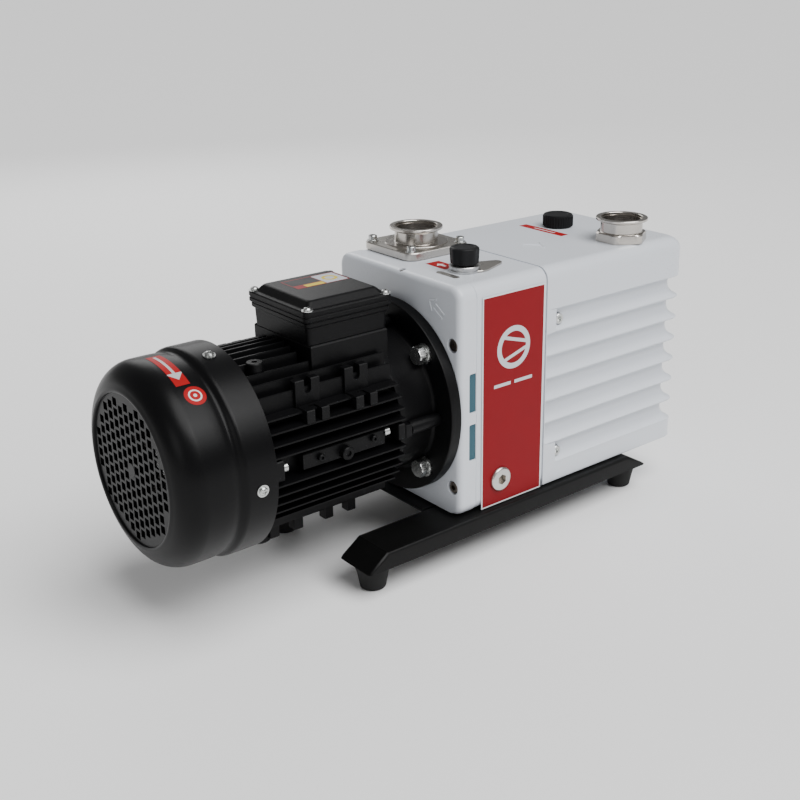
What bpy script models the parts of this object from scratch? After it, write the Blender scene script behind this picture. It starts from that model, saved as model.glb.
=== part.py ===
"""Two-stage rotary vane vacuum pump: motor, coupling, pump and oil box on a railed base.

Sizes are millimetres, turned into metres where the meshes are made. Inside this file x is
measured from the pump's front face, where the motor bolts on; FACE_X moves the whole
machine so that its bounding box is centred. +X runs to the oil box, -Y is the label side.
"""

import math

import bpy

MM = 0.001
GAP = 0.3  # between two pieces that touch
RUN = 0.4  # radial clearance of a shaft in a bore

# Castings
FACE_X = -16.0
HALF_WIDTH = 95.0
BASE_Z = 45.5
TOP_Z = 280.0
CORNER_R = 13.0
HOUSING_LENGTH = 21.7
PUMP_START = HOUSING_LENGTH + GAP
PUMP_END = 114.0
BOX_START = PUMP_END + GAP
BOX_END = 324.0
SHAFT_Z = 153.0
PUMP_HALF = HALF_WIDTH - 1.0
PUMP_TOP = TOP_Z - 0.6

# Oil box fins: each groove's upper edge, its depth, and the wall behind
FIN_TOP = 236.0
FIN_PITCH = 24.2
FIN_COUNT = 7
FIN_DEPTH = 8.0
BOX_WALL = 7.0
BOX_FLOOR_Z = 56.0
BOX_ROOF_Z = 268.0
BOX_INNER_END = 308.0

# Coupling space and seal
REGISTER_R = 65.0
CAVITY_R = 58.0
CAVITY_END = 62.0
SEAL_R = 20.0
SEAL_END = 72.0

# Vane cartridge
STATOR_R = 62.0
BORE_R = 45.0
ROTOR_R = 37.0
OFFSET = BORE_R - ROTOR_R - GAP
SHAFT_R = 12.0
VANE = 4.0
VANE_ROOT = 15.5
FRONT_PLATE = (115.0, 127.0)
HV_STATOR = (FRONT_PLATE[1] + GAP, 207.0)
MIDDLE_PLATE = (HV_STATOR[1] + GAP, 217.0)
LV_STATOR = (MIDDLE_PLATE[1] + GAP, 247.0)
REAR_PLATE = (LV_STATOR[1] + GAP, 259.0)

# Flanged ports, knob, caps and plug
PORT_R = 27.5
PORT_BORE = 20.5
PORT_NECK = 22.2
PORT_TOP = 305.0
PORT_RING = 4.0
INLET = (67.0, 51.0)
INLET_PLATE = 40.5
INLET_PLATE_T = 8.0
INLET_SCREW = 32.0
WELL_Z = 222.0
OUTLET = (257.0, -61.0)
OUTLET_FLATS = 25.0
BALLAST = (48.6, -46.0)
KNOB_R = 14.4
FILLER = (251.0, 27.5)
FILLER_R = 17.0
FILLER_NECK = 12.0
DRAIN = (53.7, 73.5)
DRAIN_R = 11.0
DRAIN_NECK = 8.0
SIGHT_Z = 112.0
SIGHT_R = 15.7
LABEL = (28.7, 110.8, 46.4, 266.3)

# Motor
FLANGE_R = 100.0
FLANGE_T = 12.0
BOLT_CIRCLE = 82.5
BOLT_R = 5.0
BELL_END = -57.0
FRAME_END = -207.0
FRAME_R = 70.0
FRAME_BORE = 62.0
FIN_R = 87.0
FRAME_FIN = 2.6
FRAME_PITCH = 11.6
PAD_Z = 240.0
PAD_HALF = 33.0
CORE = (-178.0, -88.0)
AIR_R = 39.0
BEARING_R = 26.0
BEARING_W = 15.0
SHIELD_END = -222.0
COVER_START = -203.0
COVER_END = -292.0
COVER_R = 96.3
COVER_STEP_X = -236.0
COVER_FRONT_R = 93.2
COVER_SHOULDER = 25.0
COVER_T = 2.2
GRILLE_R = 69.0
FAN_R = 78.0
LID_X = (-137.5, -41.5)
LID_Y = 49.0
LID_Z = (264.3, 281.0)

# Base
RAIL_TOP = BASE_Z - GAP
RAIL_LOW = 28.0
RAIL_Y = (54.5, 103.0)
RAIL_X = (-94.0, 240.0)
RAIL_TOE = (-117.0, 270.0)
SHEET = 3.0
FOOT_X = (-94.0, 255.0)
FOOT_Y = 77.0
FOOT_Z = 27.0
FOOT_R = (12.5, 18.0)
PLATE_X = (-14.0, 236.0)


def clear():
    for thing in list(bpy.data.objects):
        bpy.data.objects.remove(thing)


def finish_of(name, colour, metallic, roughness):
    """A Principled material."""
    look = bpy.data.materials.new(name)
    look.use_nodes = True
    shader = look.node_tree.nodes["Principled BSDF"]
    shader.inputs["Base Color"].default_value = (*colour, 1.0)
    shader.inputs["Metallic"].default_value = metallic
    shader.inputs["Roughness"].default_value = roughness
    return look


def place(along, a, b, axis):
    """A point from its place along an axis and its two other coordinates, in their order."""
    if axis == "X":
        return (along, a, b)
    if axis == "Y":
        return (a, along, b)
    return (a, b, along)


def make(name, verts, faces, look):
    """One object from millimetre points, closed and facing out."""
    mesh = bpy.data.meshes.new(name)
    points = [((x + FACE_X) * MM, y * MM, z * MM) for x, y, z in verts]
    mesh.from_pydata(points, [], faces)
    if signed_volume(points, faces) < 0:
        mesh.flip_normals()
    mesh.shade_smooth()
    mesh.set_sharp_from_angle(angle=math.radians(35))
    mesh.materials.append(look)
    thing = bpy.data.objects.new(name, mesh)
    bpy.context.scene.collection.objects.link(thing)
    return thing


def signed_volume(points, faces):
    total = 0.0
    for face in faces:
        x0, y0, z0 = points[face[0]]
        for second, third in zip(face[1:], face[2:]):
            x1, y1, z1 = points[second]
            x2, y2, z2 = points[third]
            total += x0 * (y1 * z2 - z1 * y2) - y0 * (x1 * z2 - z1 * x2) + z0 * (x1 * y2 - y1 * x2)
    return total


def stack(name, axis, sections, look):
    """A solid through outlines of equal length, each (along, outline)."""
    count = len(sections[0][1])
    verts = [place(along, a, b, axis) for along, outline in sections for a, b in outline]
    faces = []
    for level in range(len(sections) - 1):
        low = level * count
        high = low + count
        for i in range(count):
            j = (i + 1) % count
            faces.append((low + i, low + j, high + j, high + i))
    faces.append(tuple(reversed(range(count))))
    faces.append(tuple(range(len(verts) - count, len(verts))))
    return make(name, verts, faces, look)


def prism(name, axis, outline, low, high, look):
    return stack(name, axis, [(low, outline), (high, outline)], look)


def revolve(name, axis, centre, profile, look, segments=24):
    """A profile of (along, radius) turned about an axis. It is a ring if no radius is 0."""
    verts = []
    rings = []
    for along, radius in profile:
        first = len(verts)
        if radius == 0:
            verts.append(place(along, centre[0], centre[1], axis))
            rings.append([first] * segments)
            continue
        for a, b in circle(centre, radius, segments):
            verts.append(place(along, a, b, axis))
        rings.append(list(range(first, first + segments)))
    if all(radius > 0 for _, radius in profile):
        rings.append(rings[0])
    faces = []
    for low, high in zip(rings, rings[1:]):
        for i in range(segments):
            j = (i + 1) % segments
            corners = tuple(dict.fromkeys((low[i], low[j], high[j], high[i])))
            if len(corners) > 2:
                faces.append(corners)
    return make(name, verts, faces, look)


def rod(name, axis, centre, radius, low, high, look, segments=24):
    return prism(name, axis, circle(centre, radius, segments), low, high, look)


def ring(name, axis, centre, inner, outer, low, high, look, segments=24):
    profile = [(low, inner), (low, outer), (high, outer), (high, inner)]
    return revolve(name, axis, centre, profile, look, segments)


def circle(centre, radius, segments=24):
    turns = [2 * math.pi * (k + 0.5) / segments for k in range(segments)]
    return [(centre[0] + radius * math.cos(t), centre[1] + radius * math.sin(t)) for t in turns]


def hexagon(centre, flats, segments=24):
    """A hexagon as many points, so that it stacks with circles of the same count."""
    points = []
    for k in range(segments):
        turn = 2 * math.pi * (k + 0.5) / segments
        nearest = math.radians(60) * round(turn / math.radians(60))
        reach = flats / math.cos(turn - nearest)
        points.append((centre[0] + reach * math.cos(turn), centre[1] + reach * math.sin(turn)))
    return points


def rounded(low, high, radius, steps=5):
    """A rectangle from its low to its high corner with rounded corners."""
    corners = [
        (high[0] - radius, high[1] - radius, 0),
        (low[0] + radius, high[1] - radius, 90),
        (low[0] + radius, low[1] + radius, 180),
        (high[0] - radius, low[1] + radius, 270),
    ]
    points = []
    for a, b, start in corners:
        for k in range(steps):
            turn = math.radians(start + 90 * k / (steps - 1))
            points.append((a + radius * math.cos(turn), b + radius * math.sin(turn)))
    return points


def block(name, low, high, look):
    outline = [(low[0], low[1]), (high[0], low[1]), (high[0], high[1]), (low[0], high[1])]
    return prism(name, "Z", outline, low[2], high[2], look)


def blocks(name, pairs, look):
    """Several boxes in one mesh, for a single cut or join."""
    verts = []
    faces = []
    for low, high in pairs:
        first = len(verts)
        for z in (low[2], high[2]):
            verts += [(low[0], low[1], z), (high[0], low[1], z)]
            verts += [(high[0], high[1], z), (low[0], high[1], z)]
        faces += [tuple(first + i for i in face) for face in BOX_FACES]
    return make(name, verts, faces, look)


BOX_FACES = [(3, 2, 1, 0), (4, 5, 6, 7), (0, 1, 5, 4), (1, 2, 6, 5), (2, 3, 7, 6), (3, 0, 4, 7)]


def combine(target, operation, tools):
    """Adds one exact Boolean per tool and hides the tools."""
    for tool in tools:
        tool.hide_render = True
        tool.display_type = "WIRE"
        step = target.modifiers.new(tool.name, "BOOLEAN")
        step.operation = operation
        step.solver = "EXACT"
        step.object = tool
    return target


def cut(target, *tools):
    return combine(target, "DIFFERENCE", tools)


def join(target, *tools):
    return combine(target, "UNION", tools)


def hole(name, axis, centre, radius, low, high, segments=24):
    return rod("cut_" + name, axis, centre, radius, low, high, STEEL, segments)


def build_base():
    low, high = RAIL_Y
    for side, name in ((-1, "rail_near"), (1, "rail_far")):
        ends = sorted((side * low, side * high))
        outline = rail_outline(0.0)
        rail = prism(name, "Y", outline, ends[0], ends[1], BLACK)
        hollow = prism(
            "cut_" + name, "Y", rail_outline(SHEET), ends[0] + SHEET, ends[1] - SHEET, BLACK
        )
        cut(rail, hollow)
    block("cross_plate", (PLATE_X[0], GAP - low, RAIL_TOP - SHEET), (PLATE_X[1], low - GAP, RAIL_TOP), BLACK)
    for number, (x, y) in enumerate(foot_places(), 1):
        top = RAIL_LOW + 1.2 if x > 0 else RAIL_LOW + 7.0
        profile = [
            (0.0, 0),
            (0.0, FOOT_R[0]),
            (3.0, FOOT_R[0] + 1.0),
            (FOOT_Z - 4.0, FOOT_R[1]),
            (FOOT_Z, FOOT_R[1]),
            (FOOT_Z, 6.0),
            (top, 6.0),
            (top, 0),
        ]
        revolve(f"foot_{number}", "Z", (x, y), profile, RUBBER, 16)


def foot_places():
    return [(x, y) for x in FOOT_X for y in (-FOOT_Y, FOOT_Y)]


def rail_outline(inset):
    """The rail's side view, drawn in by the sheet's thickness but left open below."""
    top = RAIL_TOP - inset
    low = RAIL_LOW - (10.0 if inset else 0.0)
    slope_a = (RAIL_X[0] - RAIL_TOE[0]) / (RAIL_TOP - RAIL_LOW)
    slope_b = (RAIL_TOE[1] - RAIL_X[1]) / (RAIL_TOP - RAIL_LOW)
    side_a = inset * math.hypot(1, slope_a)
    side_b = inset * math.hypot(1, slope_b)
    return [
        (RAIL_X[0] + side_a - slope_a * inset, top),
        (RAIL_X[1] - side_b + slope_b * inset, top),
        (RAIL_X[1] - side_b + slope_b * (RAIL_TOP - low), low),
        (RAIL_X[0] + side_a - slope_a * (RAIL_TOP - low), low),
    ]


def build_castings():
    outline = rounded((-HALF_WIDTH, BASE_Z), (HALF_WIDTH, TOP_Z), CORNER_R)
    housing = prism("coupling_housing", "X", outline, 0.0, HOUSING_LENGTH, WHITE)
    slots = [
        ((12.4, -HALF_WIDTH - 5, z0), (HOUSING_LENGTH + 5, -40.0, z1))
        for z0, z1 in ((154.0, 194.0), (104.0, 142.0))
    ]
    slots += [((low[0], 40.0, low[2]), (high[0], HALF_WIDTH + 5, high[2])) for low, high in slots]
    cut(
        housing,
        hole("register", "X", (0, SHAFT_Z), REGISTER_R, -5.0, HOUSING_LENGTH + 5, 40),
        blocks("cut_slots", slots, WHITE),
    )
    for number, (y, z) in enumerate(bolt_places(), 1):
        cut(housing, hole(f"thread_{number}", "X", (y, z), BOLT_R + RUN, -5.0, 19.0, 24))
    for number, (y, z) in enumerate(((-84.5, 223), (84.5, 223), (-84.5, 76), (84.5, 76)), 1):
        cut(housing, hole(f"recess_{number}", "X", (y, z), 6.5, -5.0, 6.0, 16))

    outline = rounded((-PUMP_HALF, BASE_Z), (PUMP_HALF, PUMP_TOP), CORNER_R)
    body = prism("pump_body", "X", outline, PUMP_START, PUMP_END, WHITE)
    shaft = (0, SHAFT_Z)
    cut(
        body,
        hole("cavity", "X", shaft, CAVITY_R, PUMP_START - 5, CAVITY_END, 40),
        hole("seal", "X", shaft, SEAL_R + GAP, CAVITY_END - 5, SEAL_END),
        hole("shaft", "X", shaft, SHAFT_R + RUN, SEAL_END - 5, PUMP_END + 5),
        hole("well", "Z", INLET, PORT_BORE, WELL_Z, TOP_Z + 5),
        hole("drop", "Z", (80.0, 45.0), 7.0, 185.0, WELL_Z + 5, 16),
        hole("way", "X", (45.0, 185.0), 5.0, 76.0, PUMP_END + 5, 16),
        hole("ballast", "Z", BALLAST, 6.0, 250.0, TOP_Z + 5, 24),
        hole("drain", "Y", DRAIN, DRAIN_NECK + RUN, -HALF_WIDTH - 5, -70.0, 24),
    )
    for number, (x, y) in enumerate(screw_places(), 1):
        cut(body, hole(f"tapped_{number}", "Z", (x, y), 3.4, 268.0, TOP_Z + 5, 16))
    build_oil_box()


def box_outline(inset, start):
    """The oil box from above: full width at its joint face, drawn in behind start."""
    wide = HALF_WIDTH - inset
    end = BOX_END - inset
    radius = CORNER_R
    points = [(BOX_START, HALF_WIDTH), (BOX_START, -HALF_WIDTH), (start, -HALF_WIDTH), (start + 1.5, -wide)]
    for a, b, turn in ((end - radius, -wide + radius, 270), (end - radius, wide - radius, 0)):
        for k in range(5):
            angle = math.radians(turn + 22.5 * k)
            points.append((a + radius * math.cos(angle), b + radius * math.sin(angle)))
    points += [(start + 1.5, wide), (start, HALF_WIDTH)]
    return points


def crown_outline(inset):
    """The same outline where the top edge rounds over, its joint face included."""
    return [(x, max(-HALF_WIDTH + inset, min(HALF_WIDTH - inset, y))) for x, y in box_outline(inset, 116.0)]


def build_oil_box():
    plain = 116.0
    sections = [(BASE_Z + 0.5, box_outline(3.0, plain)), (BASE_Z + 3.5, box_outline(0.0, plain))]
    for groove in reversed(range(FIN_COUNT)):
        edge = FIN_TOP - FIN_PITCH * groove
        start = {0: 128.0, FIN_COUNT - 1: 132.0}.get(groove, 115.2)
        for drop, depth in ((22.6, 0.0), (21.4, 0.25), (18.5, 0.65), (13.5, 0.92), (9.0, 1.0), (0.8, 0.95), (0.0, 0.0)):
            sections.append((edge - drop, box_outline(depth * FIN_DEPTH, start)))
    for rise, inset in ((0.0, 0.0), (5.0, 1.0), (9.2, 3.8), (12.0, 8.0), (13.0, CORNER_R)):
        sections.append((TOP_Z - CORNER_R + rise, crown_outline(inset)))
    box = stack("oil_box", "Z", sections, WHITE)
    inner = HALF_WIDTH - FIN_DEPTH - BOX_WALL
    outline = rounded((-inner, BOX_FLOOR_Z), (inner, BOX_ROOF_Z), CORNER_R)
    cut(
        box,
        prism("cut_oil_space", "X", outline, BOX_START - 5, BOX_INNER_END, WHITE),
        hole("outlet", "Z", OUTLET, PORT_BORE, BOX_ROOF_Z - 12, TOP_Z + 5),
        hole("filler", "Z", FILLER, FILLER_NECK + RUN, BOX_ROOF_Z - 5, TOP_Z + 5, 24),
        hole("sight", "X", (0, SIGHT_Z), SIGHT_R - 4, BOX_INNER_END - 5, BOX_END + 5),
        hole("sight_seat", "X", (0, SIGHT_Z), SIGHT_R + GAP, BOX_END - 12, BOX_END + 5),
    )
    glass = BOX_END - 12 + GAP
    rod("sight_glass", "X", (0, SIGHT_Z), SIGHT_R, glass, glass + 3, GLASS)
    ring("sight_glass_bezel", "X", (0, SIGHT_Z), SIGHT_R - 4, SIGHT_R, glass + 3 + GAP, BOX_END - 1, STEEL)


def bolt_places():
    reach = BOLT_CIRCLE * math.sqrt(0.5)
    return [(y * reach, SHAFT_Z + z * reach) for y, z in ((-1, 1), (1, 1), (-1, -1), (1, -1))]


def screw_places():
    return [
        (INLET[0] + a * INLET_SCREW, INLET[1] + b * INLET_SCREW)
        for a, b in ((-1, -1), (1, -1), (1, 1), (-1, 1))
    ]


def build_label():
    x0, x1, z0, z1 = LABEL
    label = block("label_panel", (x0, -PUMP_HALF - GAP - 0.7, z0), (x1, -PUMP_HALF - GAP, z1), RED)
    cut(label, hole("label", "Y", DRAIN, DRAIN_R + 1, -HALF_WIDTH - 9, -HALF_WIDTH + 9, 24))


def build_ports():
    seat = PUMP_TOP + GAP
    low = (INLET[0] - INLET_PLATE, INLET[1] - INLET_PLATE)
    high = (INLET[0] + INLET_PLATE, INLET[1] + INLET_PLATE)
    outline = rounded(low, high, 12.0)
    flange = prism("inlet_flange", "Z", outline, seat, seat + INLET_PLATE_T, STEEL)
    neck = [
        (seat + 2, 0),
        (seat + 2, 31.0),
        (seat + INLET_PLATE_T + 1.5, 31.0),
        (seat + INLET_PLATE_T + 3.0, PORT_NECK),
        (PORT_TOP - PORT_RING - 2.0, PORT_NECK),
        (PORT_TOP - PORT_RING, PORT_R),
        (PORT_TOP, PORT_R),
        (PORT_TOP, 0),
    ]
    join(flange, revolve("join_inlet_neck", "Z", INLET, neck, STEEL, 40))
    cut(flange, hole("inlet_bore", "Z", INLET, PORT_BORE, seat - 5, PORT_TOP + 5, 40))
    head = seat + INLET_PLATE_T + GAP
    for number, (x, y) in enumerate(screw_places(), 1):
        cut(flange, hole(f"clear_{number}", "Z", (x, y), 3.4, seat - 5, head + 5, 16))
        profile = [
            (270.0, 0),
            (270.0, 3.0),
            (head, 3.0),
            (head, 5.0),
            (head + 5, 5.0),
            (head + 5, 2.6),
            (head + 2.4, 2.6),
            (head + 2.4, 0),
        ]
        revolve(f"inlet_screw_{number}", "Z", (x, y), profile, STEEL, 16)
    rod("inlet_valve_plate", "Z", INLET, PORT_BORE - 1.5, WELL_Z + GAP, WELL_Z + 3, STEEL)

    seat = TOP_Z + GAP
    around = circle(OUTLET, 1.0, 40)
    unit = [(x - OUTLET[0], y - OUTLET[1]) for x, y in around]

    def round_at(radius):
        return [(OUTLET[0] + radius * a, OUTLET[1] + radius * b) for a, b in unit]

    base = hexagon(OUTLET, OUTLET_FLATS, 40)
    outlet = stack(
        "outlet_flange",
        "Z",
        [
            (seat, base),
            (seat + 8.5, base),
            (seat + 9.5, round_at(PORT_NECK)),
            (PORT_TOP - PORT_RING - 2.0, round_at(PORT_NECK)),
            (PORT_TOP - PORT_RING, round_at(PORT_R)),
            (PORT_TOP, round_at(PORT_R)),
        ],
        STEEL,
    )
    cut(outlet, hole("outlet_bore", "Z", OUTLET, PORT_BORE, seat - 5, PORT_TOP + 5, 40))


def build_small_parts():
    seat = PUMP_TOP + GAP
    plate = [(BALLAST[0] - 15, BALLAST[1] + 13), (BALLAST[0] - 15, BALLAST[1] - 13)]
    plate += [(BALLAST[0] + 8, BALLAST[1] - 16), (BALLAST[0] + 40, BALLAST[1] - 2)]
    plate += [(BALLAST[0] + 40, BALLAST[1] + 4), (BALLAST[0] + 8, BALLAST[1] + 15.5)]
    base = prism("ballast_seat", "Z", plate, seat, seat + 2.0, STEEL)
    join(base, rod("join_ballast_base", "Z", BALLAST, KNOB_R + 1.0, seat + 1.0, seat + 6.0, STEEL))
    cut(base, hole("ballast_bore", "Z", BALLAST, 4.5, seat - 5, seat + 15, 24))
    low = seat + 6.0 + GAP + 1.0
    top = PORT_TOP - 1.5
    profile = [(low, 0), (low, KNOB_R), (top - 3, KNOB_R - 0.8), (top - 0.8, KNOB_R - 2.5), (top, 0)]
    revolve("ballast_knob", "Z", BALLAST, profile, BLACK)
    rod("ballast_plunger", "Z", BALLAST, 4.0, 256.0, low - GAP - 1.6, STEEL, 24)

    seat = TOP_Z + GAP
    profile = [
        (BOX_ROOF_Z - 2, 0),
        (BOX_ROOF_Z - 2, FILLER_NECK),
        (seat, FILLER_NECK),
        (seat, FILLER_R - 2),
        (seat + 1.5, FILLER_R),
        (seat + 14.0, FILLER_R),
        (seat + 16.7, FILLER_R - 3),
        (seat + 16.7, 0),
    ]
    revolve("filler_cap", "Z", FILLER, profile, BLACK)

    face = -PUMP_HALF - GAP
    profile = [
        (face - 4.2, 0),
        (face - 4.2, DRAIN_R - 0.8),
        (face - 3.4, DRAIN_R),
        (face, DRAIN_R),
        (face, DRAIN_NECK),
        (-73.0, DRAIN_NECK),
        (-73.0, 0),
    ]
    plug = revolve("drain_plug", "Y", DRAIN, profile, STEEL, 24)
    socket = hexagon(DRAIN, 4.0, 24)
    cut(plug, prism("cut_socket", "Y", socket, face - 9, face - 0.5, STEEL))


def build_cartridge():
    shaft = (0, SHAFT_Z)
    bore = (0, SHAFT_Z - OFFSET)
    ring("shaft_seal", "X", shaft, SHAFT_R + RUN, SEAL_R, CAVITY_END + 0.5, SEAL_END - 0.5, RUBBER)
    for name, (low, high) in (
        ("front_end_plate", FRONT_PLATE),
        ("intermediate_plate", MIDDLE_PLATE),
        ("rear_end_plate", REAR_PLATE),
    ):
        plate = ring(name, "X", shaft, SHAFT_R + RUN, STATOR_R, low, high, IRON, 40)
        if name == "front_end_plate":
            cut(plate, hole("plate_way", "X", (45.0, 185.0), 5.0, low - 5, high + 5, 16))
    for name, (low, high) in (("hv_stator", HV_STATOR), ("lv_stator", LV_STATOR)):
        stator = rod(name, "X", shaft, STATOR_R, low, high, IRON, 40)
        cut(stator, hole(name, "X", bore, BORE_R, low - 5, high + 5, 48))
    cut(
        bpy.data.objects["hv_stator"],
        blocks("cut_inlet_port", [((HV_STATOR[0] - 5, 25.0, 179.0), (150.0, 49.0, 191.0))], IRON),
    )
    port = ((225.0, -8.0, 185.0), (239.0, 8.0, SHAFT_Z + STATOR_R + 5))
    cut(bpy.data.objects["lv_stator"], blocks("cut_exhaust_port", [port], IRON))
    top = SHAFT_Z + STATOR_R + GAP
    block("exhaust_valve", (220.0, -14.0, top), (244.0, 14.0, top + 6), STEEL)

    rod("pump_shaft", "X", shaft, SHAFT_R, 45.0, REAR_PLATE[1] - 1, STEEL)
    for name, (low, high) in (("hv", HV_STATOR), ("lv", LV_STATOR)):
        rotor = ring(name + "_rotor", "X", shaft, SHAFT_R + RUN, ROTOR_R, low + GAP, high - GAP, IRON, 40)
        half = VANE / 2 + GAP
        sides = [
            ((low - 5, VANE_ROOT - GAP, SHAFT_Z - half), (high + 5, ROTOR_R + 5, SHAFT_Z + half)),
            ((low - 5, -ROTOR_R - 5, SHAFT_Z - half), (high + 5, GAP - VANE_ROOT, SHAFT_Z + half)),
        ]
        cut(rotor, blocks(f"cut_{name}_slots", sides, IRON))
        for side, letter in ((-1, "a"), (1, "b")):
            ends = sorted((side * VANE_ROOT, side * (ROTOR_R - 0.2)))
            block(
                f"{name}_vane_{letter}",
                (low + 2 * GAP, ends[0], SHAFT_Z - VANE / 2),
                (high - 2 * GAP, ends[1], SHAFT_Z + VANE / 2),
                POLYMER,
            )


def sectors(name, centre, inner, outer, low, high, turns, half, look):
    """Several blocks between two radii, in one mesh, for the coupling's jaws."""
    verts = []
    faces = []
    for turn in turns:
        first = len(verts)
        for x in (low, high):
            for radius, sign in ((inner, -1), (outer, -1), (outer, 1), (inner, 1)):
                angle = math.radians(turn + sign * half)
                verts.append((x, centre[0] + radius * math.cos(angle), centre[1] + radius * math.sin(angle)))
        faces += [tuple(first + i for i in face) for face in BOX_FACES]
    return make(name, verts, faces, look)


def build_coupling():
    shaft = (0, SHAFT_Z)
    hub = ring("motor_coupling_hub", "X", shaft, SHAFT_R + RUN, 28.0, 12.0, 30.0, ALLOY)
    join(hub, sectors("join_motor_jaws", shaft, 17.0, 27.5, 29.0, 41.0, (0, 120, 240), 18, ALLOY))
    hub = ring("pump_coupling_hub", "X", shaft, SHAFT_R + RUN, 28.0, 43.0, 61.0, ALLOY)
    join(hub, sectors("join_pump_jaws", shaft, 17.0, 27.5, 32.0, 44.0, (60, 180, 300), 18, ALLOY))
    spider = ring("coupling_spider", "X", shaft, 9.0, 15.0, 30.5, 42.5, POLYMER)
    arms = tuple(range(30, 360, 60))
    join(spider, sectors("join_spider_arms", shaft, 13.0, 27.0, 31.5, 41.5, arms, 9, POLYMER))


def build_motor():
    shaft = (0, SHAFT_Z)
    pocket = BEARING_R + GAP
    profile = [
        (4.0, SHAFT_R + 1),
        (4.0, REGISTER_R - 0.5),
        (-GAP, REGISTER_R - 0.5),
        (-GAP, FLANGE_R),
        (-FLANGE_T, FLANGE_R),
        (-FLANGE_T, 88.0),
        (-40.0, 76.0),
        (BELL_END, 74.0),
        (BELL_END, FRAME_BORE),
        (-24.0, FRAME_BORE - 2),
        (-24.0, pocket),
        (-6.0, pocket),
        (-6.0, SHAFT_R + 1),
    ]
    shield = revolve("motor_end_shield", "X", shaft, profile, BLACK, 40)
    head = -FLANGE_T - GAP
    for number, (y, z) in enumerate(bolt_places(), 1):
        cut(shield, hole(f"bolt_{number}", "X", (y, z), BOLT_R + RUN, -FLANGE_T - 20, 5.0, 24))
        cut(shield, hole(f"spot_{number}", "X", (y, z), 11.0, -FLANGE_T - 30, -FLANGE_T, 24))
        centre = (y, z)
        stack(
            f"flange_bolt_{number}",
            "X",
            [
                (head - 8.5, hexagon(centre, 7.4)),
                (head - 2.0, hexagon(centre, 8.0)),
                (head - 2.0, circle(centre, 10.0, 24)),
                (head, circle(centre, 10.0, 24)),
                (head, circle(centre, BOLT_R, 24)),
                (18.0, circle(centre, BOLT_R, 24)),
            ],
            STEEL,
        )

    frame = prism("motor_frame", "X", frame_outline(), FRAME_END, BELL_END - GAP, BLACK)
    cut(frame, hole("frame", "X", shaft, FRAME_BORE, FRAME_END - 5, BELL_END + 5, 40))
    profile = [
        (CORE[0], AIR_R + 1),
        (CORE[0] - 20, AIR_R + 4),
        (CORE[0] - 20, 56.0),
        (CORE[0], 57.0),
        (CORE[0], FRAME_BORE - 0.4),
        (CORE[1], FRAME_BORE - 0.4),
        (CORE[1], 57.0),
        (CORE[1] + 20, 56.0),
        (CORE[1] + 20, AIR_R + 4),
        (CORE[1], AIR_R + 1),
    ]
    revolve("stator_core", "X", shaft, profile, IRON, 40)
    ring("motor_rotor", "X", shaft, SHAFT_R + RUN, AIR_R - 0.2, CORE[0], CORE[1], IRON, 32)
    rod("motor_shaft", "X", shaft, SHAFT_R, -262.0, 29.0, STEEL)
    inner = SHAFT_R + RUN
    ring("front_bearing", "X", shaft, inner, BEARING_R, -6.5 - BEARING_W, -6.5, STEEL)
    low = SHIELD_END + 5.0
    ring("rear_bearing", "X", shaft, inner, BEARING_R, low + 0.5, low + 0.5 + BEARING_W, STEEL)
    profile = [
        (FRAME_END - GAP, 84.0),
        (SHIELD_END, 80.0),
        (SHIELD_END, SHAFT_R + 1),
        (low, SHAFT_R + 1),
        (low, pocket),
        (FRAME_END + 4, pocket),
        (FRAME_END + 4, pocket + 8),
        (FRAME_END - GAP - 5, pocket + 8),
        (FRAME_END - GAP - 5, FRAME_BORE),
        (FRAME_END - GAP, FRAME_BORE),
    ]
    revolve("rear_end_shield", "X", shaft, profile, BLACK, 40)
    build_fan()
    build_terminals()


def frame_outline():
    """The finned barrel seen along its shaft: level fins at the sides, upright ones below."""
    half = FRAME_FIN / 2
    rows = [FRAME_PITCH * k for k in range(-4, 5)]
    side = []
    for row in rows:
        for edge, radius in ((-half, FRAME_R), (-half, FIN_R), (half, FIN_R), (half, FRAME_R)):
            reach = math.sqrt(radius**2 - (row + (edge if radius == FRAME_R else 0)) ** 2)
            side.append((reach, row + edge))
    pad = PAD_Z - SHAFT_Z
    foot = math.sqrt(FRAME_R**2 - PAD_HALF**2)
    points = list(side)
    points += [(PAD_HALF + 12, 54.0), (PAD_HALF, foot), (PAD_HALF, pad)]
    points += [(-PAD_HALF, pad), (-PAD_HALF, foot), (-PAD_HALF - 12, 54.0)]
    points += [(-a, -b) for a, b in side]
    points += [(b, -a) for a, b in side]
    return [(a, SHAFT_Z + b) for a, b in points]


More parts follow.
